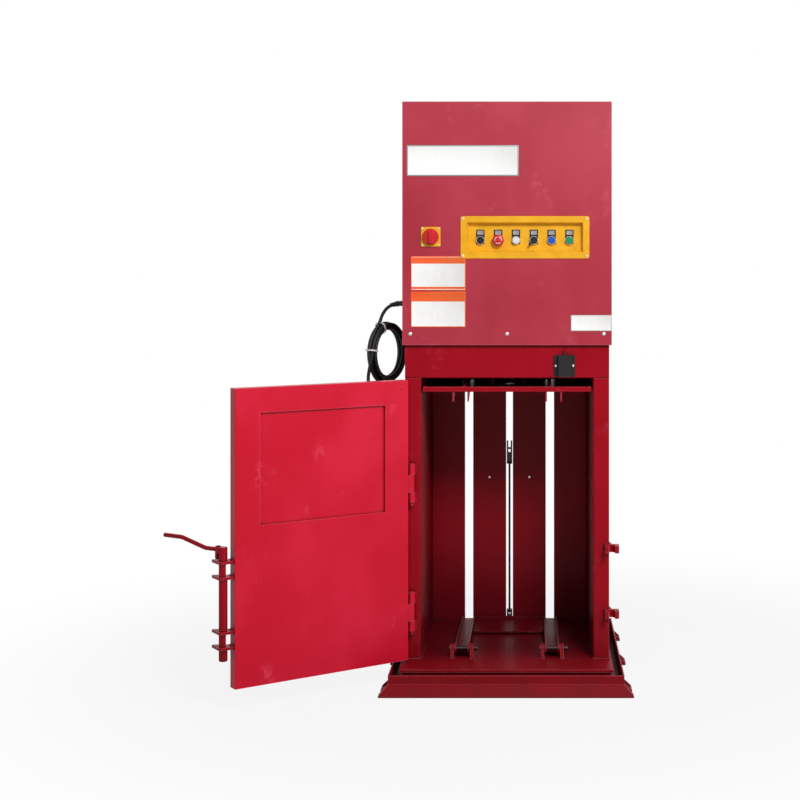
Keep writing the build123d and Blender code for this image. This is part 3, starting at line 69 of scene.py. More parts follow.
class Link:
    """A shader socket on which arithmetic adds Math nodes."""

    def __init__(self, tree: "Tree", socket: bpy.types.NodeSocket) -> None:
        """Wrap one output.

        Args:
            tree: The node tree that holds the socket.
            socket: The output that later nodes read.
        """
        self.tree = tree
        self.socket = socket

    def math(
        self, operation: str, first: "Link | float", second: "Link | float" = 0.0, clamp: bool = False
    ) -> "Link":
        """Add one Math node.

        Args:
            operation: The node's operation.
            first: Its upper value.
            second: Its lower value.
            clamp: Whether the result is kept between 0 and 1.

        Returns:
            The node's result.
        """
        settings = {"operation": operation, "use_clamp": clamp}
        return self.tree.add("ShaderNodeMath", settings, {0: first, 1: second})

    def __add__(self, other: "Link | float") -> "Link":
        """Add a value."""
        return self.math("ADD", self, other)

    def __radd__(self, other: float) -> "Link":
        """Add to a number."""
        return self.math("ADD", other, self)

    def __sub__(self, other: "Link | float") -> "Link":
        """Take a value away."""
        return self.math("SUBTRACT", self, other)

    def __rsub__(self, other: float) -> "Link":
        """Take the value away from a number."""
        return self.math("SUBTRACT", other, self)

    def __mul__(self, other: "Link | float") -> "Link":
        """Multiply by a value."""
        return self.math("MULTIPLY", self, other)

    def __rmul__(self, other: float) -> "Link":
        """Multiply a number."""
        return self.math("MULTIPLY", other, self)

    def __truediv__(self, other: "Link | float") -> "Link":
        """Divide by a value."""
        return self.math("DIVIDE", self, other)

    def clamp(self) -> "Link":
        """Keep the value between 0 and 1."""
        return self.math("ADD", self, 0.0, clamp=True)

    def above(self, low: float, high: float) -> "Link":
        """Rise from 0 at one value to 1 at another.

        Args:
            low: The value where the result starts to rise.
            high: The value where the result reaches 1.

        Returns:
            A smooth step between the two.
        """
        settings = {"interpolation_type": "SMOOTHSTEP"}
        inputs = {"Value": self, "From Min": low, "From Max": high}
        return self.tree.add("ShaderNodeMapRange", settings, inputs)


class Tree:
    """The node tree of one material, or of the world."""

    def __init__(self, name: str, world: bool = False) -> None:
        """Start an empty tree.

        Args:
            name: The material's or the world's name.
            world: Whether the tree is a world's.
        """
        self.output = "ShaderNodeOutputWorld" if world else "ShaderNodeOutputMaterial"
        self.owner = (bpy.data.worlds if world else bpy.data.materials).new(name)
        self.owner.use_nodes = True
        self.nodes = self.owner.node_tree.nodes
        self.links = self.owner.node_tree.links
        self.nodes.clear()
        self.place = self.add("ShaderNodeTexCoord", output="Object")

    def add(
        self, kind: str, settings: dict | None = None, inputs: dict | None = None, output: int | str = 0
    ) -> Link:
        """Add one node of any type.

        Args:
            kind: The node's type.
            settings: Its own settings, with a ramp's stops under the key stops.
            inputs: A value or a link for each socket, by name or number.
            output: The output that the result reads.

        Returns:
            The chosen output.
        """
        node = self.nodes.new(kind)
        for key, value in (settings or {}).items():
            if key == "stops":
                for index, (position, colour) in enumerate(value):
                    stops = node.color_ramp.elements
                    stop = stops[index] if index < len(stops) else stops.new(position)
                    stop.position = position
                    stop.color = colour
            else:
                setattr(node, key, value)
        for key, value in (inputs or {}).items():
            if isinstance(value, Link):
                self.links.new(value.socket, node.inputs[key])
            else:
                node.inputs[key].default_value = value
        return Link(self, node.outputs[output])

    def axis(self, number: int) -> Link:
        """Find one coordinate of the place.

        Args:
            number: 0 across, 1 back and 2 up.

        Returns:
            The distance from the piece's origin.
        """
        return self.add("ShaderNodeSeparateXYZ", inputs={0: self.place}, output=number)

    def noise(self, scale: float, detail: float = 3.0, stretch: Point = (1, 1, 1)) -> Link:
        """Cloudy pattern in the piece's own place.

        Args:
            scale: Clouds a metre.
            detail: How many finer layers it has.
            stretch: How the pattern is scaled along each axis.

        Returns:
            Values about 0.5.
        """
        place = self.add("ShaderNodeMapping", inputs={"Vector": self.place, "Scale": stretch})
        inputs = {"Vector": place, "Scale": scale, "Detail": detail}
        return self.add("ShaderNodeTexNoise", inputs=inputs)

    def mix(self, share: "Link | float", first: "Link | Colour", second: "Link | Colour") -> Link:
        """Blend two colours.

        Args:
            share: How much of the second there is.
            first: The colour at 0.
            second: The colour at 1.

        Returns:
            The blended colour.
        """
        return self.add("ShaderNodeMix", {"data_type": "RGBA"}, {0: share, 6: first, 7: second}, 2)

    def edges(self, width: float) -> Link:
        """Show where the surface bends.

        Args:
            width: How far from an edge the result is above 0, in metres.

        Returns:
            About 1 at sharp edges and 0 on flat faces.
        """
        soft = self.add("ShaderNodeBevel", {"samples": 4}, {"Radius": width})
        true = self.add("ShaderNodeNewGeometry", output="Normal")
        settings = {"operation": "DOT_PRODUCT"}
        same = self.add("ShaderNodeVectorMath", settings, {0: soft, 1: true}, "Value")
        return (1 - same).above(0.01, 0.25)

    def hollows(self, reach: float) -> Link:
        """Show the inner corners, where shade is painted in.

        Args:
            reach: How far from a corner the result is above 0, in metres.

        Returns:
            About 1 in deep corners and 0 on open faces.
        """
        settings = {"samples": 6}
        open_share = self.add("ShaderNodeAmbientOcclusion", settings, {"Distance": reach}, "AO")
        return (1 - open_share).above(0.12, 0.62)

    def bump(self, height: Link, depth: float, strength: float = 0.6, normal: Link | None = None) -> Link:
        """Turn a height into a shaded relief.

        Args:
            height: The pattern.
            depth: What a height of 1 measures, in metres.
            strength: How strongly it shades.
            normal: The normal below it.

        Returns:
            The bent normal.
        """
        inputs = {"Height": height, "Distance": depth, "Strength": strength}
        if normal:
            inputs["Normal"] = normal
        return self.add("ShaderNodeBump", inputs=inputs)

    def surface(
        self, colour: Link, roughness: Link, normal: Link, fixed: dict, metallic: Link | float = 0.0
    ) -> bpy.types.Material:
        """Close the tree with its shader.

        Args:
            colour: The base colour.
            roughness: The roughness.
            normal: The bent normal.
            fixed: Constant values of the shader's own sockets.
            metallic: Where the surface is bare metal.

        Returns:
            The finished material.
        """
        inputs = {"Base Color": colour, "Roughness": roughness, "Normal": normal, "Metallic": metallic}
        shader = self.add("ShaderNodeBsdfPrincipled", inputs=inputs | fixed)
        self.close(shader)
        return self.owner

    def close(self, shader: Link) -> None:
        """Join a shader to the tree's output."""
        output = self.nodes.new(self.output)
        self.links.new(shader.socket, output.inputs["Surface"])


class Slot(Enum):
    """The record's finishes."""

    RED = "red_paint"
    HEAD = "head_paint"
    LIT_DOOR = "inner_paint"
    YELLOW = "yellow_moulding"
    BLACK = "black_plastic"
    WHITE = "white_plastic"
    BLUE = "blue_plastic"
    GREEN = "green_plastic"
    STOP = "red_plastic"
    CHROME = "chromed"
    STEEL = "steel"
    RUBBER = "rubber"
    GREY = "grey_paint"


@dataclass(frozen=True)
class Enamel:
    """Sprayed enamel on welded plate, with worn edges and a few marks, and with painted shade near the
    floor, in the inner corners and in the press chamber, and painted highlights along the edges.

    Args:
        name: The material's name.
        body: The paint's colour.
        light: The colour of its thinner clouds.
        roughness: How matt it is.
        peel: Depth of the orange peel, in metres.
        chips: Share of the edges that are worn to the primer.
        floor_shade: How dark the painted shade near the floor is.
        marks: How many small dark marks the faces have, from 0 to 1.
        sheen: How strongly its gloss reflects.
        rubs: How pale the rubbed patches on its faces are.
        chamber_shade: How dark the painted shade on the press chamber's inner faces is.
    """

    name: str
    body: Colour
    light: Colour
    roughness: float = 0.34
    peel: float = 0.0004
    chips: float = 0.35
    floor_shade: float = 0.5
    marks: float = 0.25
    sheen: float = 0.22
    rubs: float = 0.18
    chamber_shade: float = 0.0

    def chamber(self, tree: Tree) -> Link:
        """Show the faces inside the press chamber, for painted shade that is darker towards its floor.

        Args:
            tree: The paint's nodes.

        Returns:
            1 low in the chamber and 0 outside it.
        """
        across, depth, height = (tree.axis(number) for number in range(3))
        half_width, back, front, top = 0.302, 0.3575, -0.30, 0.96
        width = across.math("ABSOLUTE", across)
        inside = (half_width - width).above(0.0, 0.004) * (back - depth).above(0.0, 0.003)
        inside = inside * (depth - front).above(0.0, 0.24) * (top - height).above(0.0, 0.03)
        least, fade_height = 0.36, 0.5
        return inside * (least + (1 - height / fade_height).clamp() * (1 - least))

    def make(self) -> bpy.types.Material:
        """Build the paint's nodes.

        Returns:
            The material.
        """
        tree = Tree(self.name)
        cloud = tree.noise(3.2, 5.0)
        streak = tree.noise(9.0, 4.0, (1.0, 1.0, 0.18))
        fine = tree.noise(420.0, 2.0)
        speck = tree.noise(46.0, 6.0)
        edge = tree.edges(0.0045)
        hollow = tree.hollows(0.020)
        rub = tree.noise(11.0, 9.0, (1.0, 1.0, 0.6)).above(0.60, 0.74) * speck.above(0.42, 0.60)
        colour = tree.mix((cloud * 0.7 + streak * 0.3).above(0.36, 0.68), self.body, self.light)
        height = tree.axis(2)
        # Painted shade: the paint darkens in streaks towards the ground. The same mask also makes the low
        # paint rougher.
        low = (1 - height / 0.35).clamp() * (0.35 + streak * 0.9)
        dark = (self.body[0] * 0.3, self.body[1] * 0.5 + 0.004, self.body[2] * 0.4 + 0.003, 1)
        colour = tree.mix((low * self.floor_shade).clamp(), colour, dark)
        mark = speck.above(0.74 - 0.08 * self.marks, 0.80) * self.marks
        colour = tree.mix(mark, colour, DARK_MARK)
        # Painted highlight along the sharp edges. The pale rubbed patches on the faces are wear.
        red, green, blue, _ = self.light
        highlight_and_rub = (min(0.9, red * 1.3 + 0.16), green * 1.8 + 0.10, blue * 1.8 + 0.12, 1)
        colour = tree.mix((edge * 0.62 + rub * self.rubs).clamp(), colour, highlight_and_rub)
        # Painted shade in the inner corners.
        colour = tree.mix(hollow * 0.85, colour, dark)
        # Painted shade inside the press chamber, darker towards its floor.
        if self.chamber_shade:
            colour = tree.mix((self.chamber(tree) * self.chamber_shade).clamp(), colour, CHAMBER_SHADE_COLOUR)
        worn = edge * speck.above(0.56, 0.66) * self.chips
        colour = tree.mix(worn, colour, PRIMER)
        roughness = self.roughness + cloud * 0.14 - 0.07 + low * 0.18
        roughness = (roughness + mark * 0.2 + worn * 0.2 + rub * 0.12).clamp()
        normal = tree.bump(fine * 0.5 + cloud * 2.0 + speck * 0.3, self.peel, 0.35)
        gloss = {"Specular IOR Level": self.sheen, "Coat Weight": 0.05, "Coat Roughness": 0.16}
        return tree.surface(colour, roughness, normal, gloss)


@dataclass(frozen=True)
class Moulded:
    """Moulded plastic or rubber with a fine grain, a cloudy tone and rubbed edges.

    Args:
        name: The material's name.
        body: The colour.
        roughness: How matt it is.
        grain: Grains a metre.
        depth: Depth of the grain, in metres.
        pale: How much its edges are rubbed pale.
    """

    name: str
    body: Colour
    roughness: float = 0.4
    grain: float = 900.0
    depth: float = 0.0001
    pale: float = 0.25

    def make(self) -> bpy.types.Material:
        """Build the plastic's nodes.

        Returns:
            The material.
        """
        tree = Tree(self.name)
        cloud = tree.noise(24.0, 4.0)
        grain = tree.noise(self.grain, 2.0)
        edge = tree.edges(0.0012)
        deep = tuple(part * 0.88 for part in self.body[:3]) + (1,)
        rubbed = tuple(part + (0.8 - part) * 0.35 for part in self.body[:3]) + (1,)
        colour = tree.mix(cloud.above(0.35, 0.7), deep, self.body)
        colour = tree.mix(edge * self.pale, colour, rubbed)
        roughness = (self.roughness + cloud * 0.16 - 0.08 + edge * 0.08).clamp()
        normal = tree.bump(grain + cloud * 0.4, self.depth, 0.5)
        return tree.surface(colour, roughness, normal, {"Specular IOR Level": 0.3})


@dataclass(frozen=True)
class Metal:
    """Bare or plated steel with turning marks, smudges and a little tarnish.

    Args:
        name: The material's name.
        body: The colour.
        tarnish: The colour of its dull patches.
        roughness: How matt it is.
        lines: How strongly the turning marks show.
    """

    name: str
    body: Colour
    tarnish: Colour
    roughness: float = 0.25
    lines: float = 0.5

    def make(self) -> bpy.types.Material:
        """Build the metal's nodes.

        Returns:
            The material.
        """
        tree = Tree(self.name)
        smudge = tree.noise(38.0, 5.0)
        line = tree.noise(90.0, 3.0, (1.0, 1.0, 14.0))
        edge = tree.edges(0.001)
        dull = smudge.above(0.52, 0.72)
        colour = tree.mix(dull * 0.7, self.body, self.tarnish)
        colour = tree.mix(edge * 0.4, colour, POLISHED)
        roughness = (self.roughness + dull * 0.22 + line * 0.12 * self.lines).clamp()
        normal = tree.bump(line * self.lines + smudge * 0.3, 0.0002, 0.3)
        return tree.surface(colour, roughness, normal, {}, 1.0 - dull * 0.25)


@dataclass(frozen=True)
class Film:
    """Printed film or coated sheet stuck to the front, with a soft sheen.

    Args:
        name: The material's name.
        body: The colour.
        faded: The colour where it has aged.
    """

    name: str
    body: Colour
    faded: Colour

    def make(self) -> bpy.types.Material:
        """Build the film's nodes.

        Returns:
            The material.
        """
        tree = Tree(self.name)
        age = tree.noise(7.0, 4.0)
        rub = tree.noise(60.0, 5.0, (1.0, 1.0, 0.3))
        colour = tree.mix((age * 0.6 + rub * 0.4).above(0.42, 0.66), self.body, self.faded)
        roughness = (0.36 + age * 0.16 + rub * 0.08).clamp()
        normal = tree.bump(rub * 0.6 + age * 2.0, 0.0002, 0.3)
        return tree.surface(colour, roughness, normal, {"IOR": 1.45})


FINISHES = {
    Slot.RED: Enamel(
        "red enamel", (0.31, 0.001, 0.008, 1), (0.38, 0.003, 0.014, 1),
        floor_shade=0.8, sheen=0.08, rubs=0.15, chamber_shade=0.72,
    ),
    Slot.HEAD: Enamel(
        "head enamel", (0.36, 0.010, 0.028, 1), (0.43, 0.024, 0.050, 1),
        roughness=0.42, peel=0.0005, chips=0.15, floor_shade=0.0, marks=0.0, sheen=0.4,
    ),
    # The door's paint is the frame's red painted about twice as light, a painted highlight for the light
    # on the door's inner face.
    Slot.LIT_DOOR: Enamel(
        "lit door enamel", (0.60, 0.004, 0.024, 1), (0.70, 0.014, 0.046, 1),
        roughness=0.34, peel=0.0005, chips=0.3, floor_shade=0.15, marks=0.6, sheen=0.14, rubs=0.32,
    ),
    Slot.YELLOW: Moulded("yellow moulding", (0.88, 0.43, 0.012, 1), 0.36),
    Slot.BLACK: Moulded("black plastic", (0.007, 0.007, 0.008, 1), 0.42),
    Slot.WHITE: Moulded("white plastic", (0.78, 0.77, 0.73, 1), 0.34),
    Slot.BLUE: Moulded("blue plastic", (0.01, 0.10, 0.55, 1), 0.28),
    Slot.GREEN: Moulded("green plastic", (0.01, 0.28, 0.12, 1), 0.28),
    Slot.STOP: Moulded("red plastic", (0.62, 0.015, 0.02, 1), 0.30),
    Slot.CHROME: Metal("chromed steel", (0.74, 0.75, 0.77, 1), (0.42, 0.42, 0.44, 1), 0.14, 0.2),
    Slot.STEEL: Metal("zinc plated steel", (0.60, 0.60, 0.59, 1), (0.26, 0.25, 0.23, 1), 0.32, 0.6),
    Slot.RUBBER: Moulded("black rubber", (0.014, 0.014, 0.016, 1), 0.52, 600.0, 0.0002, 0.12),
    Slot.GREY: Enamel(
        "grey enamel", (0.20, 0.21, 0.22, 1), (0.26, 0.27, 0.28, 1),
        roughness=0.42, peel=0.0004, chips=0.2, floor_shade=0.0, marks=0.1,
    ),
}
DARK_PIN = Metal("oiled steel", (0.045, 0.030, 0.032, 1), (0.09, 0.02, 0.03, 1), 0.40, 0.4)
SHEETS = {
    "oiled steel": DARK_PIN,
    "white film": Film("white film", (0.90, 0.90, 0.89, 1), (0.84, 0.83, 0.80, 1)),
    "orange film": Film("orange film", (0.90, 0.10, 0.012, 1), (0.82, 0.15, 0.03, 1)),
    "grey film": Film("grey film", (0.30, 0.30, 0.31, 1), (0.38, 0.37, 0.36, 1)),
    "pale film": Film("pale film", (0.60, 0.60, 0.58, 1), (0.50, 0.50, 0.48, 1)),
}


class Finishes:
    """Builds each material once and hands it out."""

    def __init__(self) -> None:
        """Start with none made."""
        self.made: dict[str, bpy.types.Material] = {}

    def get(self, key: "Slot | str") -> bpy.types.Material:
        """Find or build a material.

        Args:
            key: A slot, or the name of a film.

        Returns:
            The material.
        """
        finish = FINISHES[key] if isinstance(key, Slot) else SHEETS[key]
        if finish.name not in self.made:
            self.made[finish.name] = finish.make()
        return self.made[finish.name]

    def dress(self, thing: bpy.types.Object, *keys: "Slot | str") -> None:
        """Give a piece its materials.

        Args:
            thing: The piece.
            keys: One key for each of its material slots.
        """
        thing.data.materials.clear()
        for key in keys:
            thing.data.materials.append(self.get(key))


finishes = Finishes()


class Craft:
    """Modelling steps as they are made by hand."""

    @staticmethod
    def clear() -> None:
        """Leave edit mode with nothing selected."""
        if bpy.context.mode != "OBJECT":
            bpy.ops.object.mode_set(mode="OBJECT")
        bpy.ops.object.select_all(action="DESELECT")

    @staticmethod
    def begin(name: str) -> bpy.types.Object:
        """Settle a new primitive's place into its mesh.

        Args:
            name: The piece's name.

        Returns:
            The piece, selected and at the origin.
        """
        thing = bpy.context.object
        thing.name = name
        bpy.ops.object.transform_apply(location=True, rotation=True, scale=True)
        return thing

    @staticmethod
    def block(name: str, low: Point, high: Point) -> bpy.types.Object:
        """Add a box between two corners.

        Args:
            name: The piece's name.
            low: Its lowest corner.
            high: Its highest corner.

        Returns:
            The piece.
        """
        Craft.clear()
        middle = [(a + b) / 2 for a, b in zip(low, high)]
        size = [b - a for a, b in zip(low, high)]
        bpy.ops.mesh.primitive_cube_add(size=1, location=middle, scale=size)
        return Craft.begin(name)

    @staticmethod
    def rod(
        name: str, centre: Point, radius: float, depth: float, turn: Point = (0, 0, 0), sides: int = 32
    ) -> bpy.types.Object:
        """Add a cylinder.

        Args:
            name: The piece's name.
            centre: Its middle.
            radius: Its radius.
            depth: Its length.
            turn: Its rotation from upright, in radians.
            sides: Its number of sides.

        Returns:
            The piece.
        """
        Craft.clear()
        bpy.ops.mesh.primitive_cylinder_add(
            vertices=sides, radius=radius, depth=depth, location=centre, rotation=turn
        )
        return Craft.begin(name)

    @staticmethod
    def faces(thing: bpy.types.Object, test: Callable[[bmesh.types.BMFace], bool]) -> None:
        """Select the faces that pass a test, in edit mode.

        Args:
            thing: The piece.
            test: Tells whether a face is wanted.
        """
        bpy.ops.object.mode_set(mode="EDIT")
        bpy.ops.mesh.select_mode(type="FACE")
        bpy.ops.mesh.select_all(action="DESELECT")
        mesh = bmesh.from_edit_mesh(thing.data)
        for face in mesh.faces:
            face.select = test(face)
        mesh.select_flush_mode()
        bmesh.update_edit_mesh(thing.data)

    @staticmethod
    def facing(thing: bpy.types.Object, way: Point) -> None:
        """Select the faces that look one way, in edit mode."""
        Craft.faces(thing, lambda face: face.normal.dot(Vector(way)) > FLAT)

    @staticmethod
    def paint(thing: bpy.types.Object, slot: int) -> None:
        """Give the selected faces one of the piece's materials."""
        thing.active_material_index = slot
        bpy.ops.object.material_slot_assign()

    @staticmethod
    def round(thing: bpy.types.Object, width: float, steps: int = 3) -> None:
        """Round every hard edge.

        Args:
            thing: The piece.
            width: The round's size.
            steps: Its segments.
        """
        bpy.ops.object.mode_set(mode="OBJECT")
        bevel = thing.modifiers.new("round", "BEVEL")
        bevel.width = width
        bevel.segments = steps
        bevel.limit_method = "ANGLE"
        bevel.angle_limit = HARD_EDGE
        bpy.ops.object.modifier_apply(modifier="round")

    @staticmethod
    def smooth(thing: bpy.types.Object) -> None:
        """Shade the gentle bends smooth."""
        Craft.clear()
        thing.select_set(True)
        bpy.context.view_layer.objects.active = thing
        bpy.ops.object.shade_smooth_by_angle(angle=SOFT_BEND)

    @staticmethod
    def copies(thing: bpy.types.Object, places: Iterable[Point]) -> bpy.types.Object:
        """Repeat a piece and join the copies to it.

        Args:
            thing: The piece, which is the first of them.
            places: How far each copy lies from it.

        Returns:
            The joined piece.
        """
        Craft.clear()
        made = [thing]
        for place in places:
            other = thing.copy()
            other.data = thing.data.copy()
            bpy.context.collection.objects.link(other)
            other.location = place
            made.append(other)
        for other in made:
            other.select_set(True)
        bpy.context.view_layer.objects.active = thing
        bpy.ops.object.transform_apply(location=True, rotation=True, scale=True)
        if len(made) > 1:
            bpy.ops.object.join()
        return thing

    @staticmethod
    def finish(thing: bpy.types.Object, body: str, slot: Slot, *keys: "Slot | str") -> bpy.types.Object:
        """Hand a piece to the frame.

        Args:
            thing: The piece.
            body: The body that it moves with.
            slot: The record's slot for it.
            keys: Its own materials, where they aren't the slot's.

        Returns:
            The piece.
        """
        Craft.smooth(thing)
        if not thing.data.materials:
            finishes.dress(thing, *(keys or (slot,)))
        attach(thing, body)
        log.info("%s rides on %s", thing.name, body)
        return thing


@dataclass
class MainsLead:
    """The mains lead: down from the gland, five turns in a tied coil, and down to its plug."""

    length: float = 3.42
    diameter: float = 0.012
    exit: Point = (-0.371, -0.080, 1.301)
    drop: tuple[Point, ...] = (
        (-0.402, -0.080, 1.301),
        (-0.430, -0.081, 1.286),
        (-0.447, -0.084, 1.2605),
        (-0.453, -0.086, 1.238),
    )
    coil: Point = (-0.432, -0.044, 1.124)
    facing: float = radians(62)
    radius: float = 0.099
    strand: float = 0.0122
    turns: float = 5.0
    steps: int = 14
    tail: float = 0.107
    back: float = 0.0095
    straight: Span = (1.052, 1.028)
    plug: float = 1.0047

    def ring(self, angle: float, out: float, along: float) -> Vector:
        """Find a place in the coil.

        Args:
            angle: Degrees round the coil from its side.
            out: Distance from the coil's middle.
            along: Distance along the coil's axis.

        Returns:
            The place in the frame.
        """
        side = Vector((cos(self.facing), sin(self.facing), 0))
        front = Vector((sin(self.facing), -cos(self.facing), 0))
        turn = radians(angle)
        across = side * cos(turn) * out + Vector(UPRIGHT) * sin(turn) * out
        return Vector(self.coil) + across + front * along

    def route(self) -> list[Vector]:
        """Lay the lead's control points, each turn beside the one before.

        Returns:
            The points from the gland to the plug.
        """
        full, half = 360.0, 180.0
        lay_per_turn = 60  # Degrees that the strand moves round the bundle in one turn
        slack, slack_rate = 0.0015, 0.37
        corner_cut = 0.9875  # The spline runs this far out towards its control points
        points = [Vector(place) for place in (self.exit, *self.drop)]
        first, last = 125.0, half + self.turns * full
        count = round((last - first) / full * self.steps)
        for index in range(count + 1):
            angle = first + (last - first) * index / count
            lay = radians((angle - first) / full * lay_per_turn)
            loose = slack * sin(radians(angle * slack_rate))
            out = (self.radius + self.strand * cos(lay) + loose) / corner_cut
            points.append(self.ring(angle, out, -self.strand * sin(lay)))
        below = self.ring(half, self.tail, -self.back)
        points.extend(Vector((below.x, below.y, height)) for height in (*self.straight, self.plug))
        return points

    def build(self) -> None:
        """Draw the lead as one smooth spline, attach it to the frame and hide the frame's own cord and
        coil.
        """
        Craft.clear()
        curve = bpy.data.curves.new("mains_lead", "CURVE")
        curve.dimensions = "3D"
        curve.bevel_depth = self.diameter / 2
        curve.bevel_resolution = 5
        curve.resolution_u = 8
        curve.use_fill_caps = True
        points = self.route()
        spline = curve.splines.new("NURBS")
        spline.points.add(len(points) - 1)
        for point, place in zip(spline.points, points):
            point.co = (*place, 1)
        spline.order_u = 3
        spline.use_endpoint_u = True
        lead = bpy.data.objects.new("mains_lead", curve)
        bpy.context.collection.objects.link(lead)
        finishes.dress(lead, Slot.RUBBER)
        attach(lead, "frame")
        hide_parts("mains_cord", "cord_coil")
        log.info("mains lead laid")


@dataclass
class FrontSigns:
    """Bare plates and films on the head's front, each with its border and bands."""

    front: float = -0.231
    thickness: float = 0.0012
    notice_sides: Span = (-0.333, -0.143)
    upper_notice: Span = (1.3490, 1.4680)
    lower_notice: Span = (1.2220, 1.3450)

    def plate(
        self, name: str, sides: Span, ends: Span, border: float, films: tuple[str, str]
    ) -> bpy.types.Object:
        """Stick one plate to the front, with a raised border.

        Args:
            name: The piece's name.
            sides: Its left and right side.
            ends: Its bottom and top.
            border: The border's width.
            films: The films of its border and its face.

        Returns:
            The plate.
        """
        low = (sides[0], self.front - self.thickness, ends[0])
        plate = Craft.block(name, low, (sides[1], self.front, ends[1]))
        finishes.dress(plate, *films)
        Craft.facing(plate, FRONT)
        bpy.ops.mesh.inset(thickness=border, depth=0)
        bpy.ops.mesh.inset(thickness=0.0006, depth=-0.0003)
        Craft.paint(plate, 1)
        Craft.round(plate, 0.0004, 2)
        return plate

    def band(self, plate: bpy.types.Object, low: float, high: float, slot: int) -> None:
        """Cut a plate's face across and paint the strip between.

        Args:
            plate: The plate.
            low: The strip's bottom.
            high: The strip's top.
            slot: The piece's material for the strip.
        """
        for level in (low, high):
            Craft.facing(plate, FRONT)
            bpy.ops.mesh.bisect(plane_co=(0, 0, level), plane_no=UPRIGHT)
        sunk = self.front - self.thickness + 0.0001

        def inside(face: bmesh.types.BMFace) -> bool:
            """Tell whether a face lies in the strip, behind the border."""
            middle = face.calc_center_median()
            return low < middle.z < high and middle.y > sunk and face.normal.y < -FLAT

        Craft.faces(plate, inside)
        Craft.paint(plate, slot)
        bpy.ops.object.mode_set(mode="OBJECT")

    def notice(self, name: str, ends: Span, bands: list[Span]) -> None:
        """Stick one white notice to the front, with orange bands.

        Args:
            name: The piece's name.
            ends: Its bottom and top.
            bands: Each band's bottom and top.
        """
        notice = self.plate(name, self.notice_sides, ends, 0.0025, ("orange film", "white film"))
        notice.data.materials.append(finishes.get("orange film"))
        for low, high in bands:
            self.band(notice, low, high, 2)
        Craft.finish(notice, "frame", Slot.WHITE)

    def build(self) -> None:
        """Set the name plate, the two notices and the small plate."""
        name_plate = self.plate(
            "name_plate", (-0.347, 0.0405), (1.745, 1.852), 0.004, ("grey film", "white film")
        )
        Craft.finish(name_plate, "frame", Slot.WHITE)
        low, high = self.upper_notice
        upper_bands = [(high - 0.026, high - 0.004), (low + 0.005, low + 0.013)]
        self.notice("notice_1", self.upper_notice, upper_bands)
        high = self.lower_notice[1]
        self.notice("notice_2", self.lower_notice, [(high - 0.034, high - 0.003)])
        small = self.plate(
            "small_plate", (0.221, 0.362), (1.209, 1.264), 0.002, ("pale film", "white film")
        )
        Craft.finish(small, "frame", Slot.WHITE)


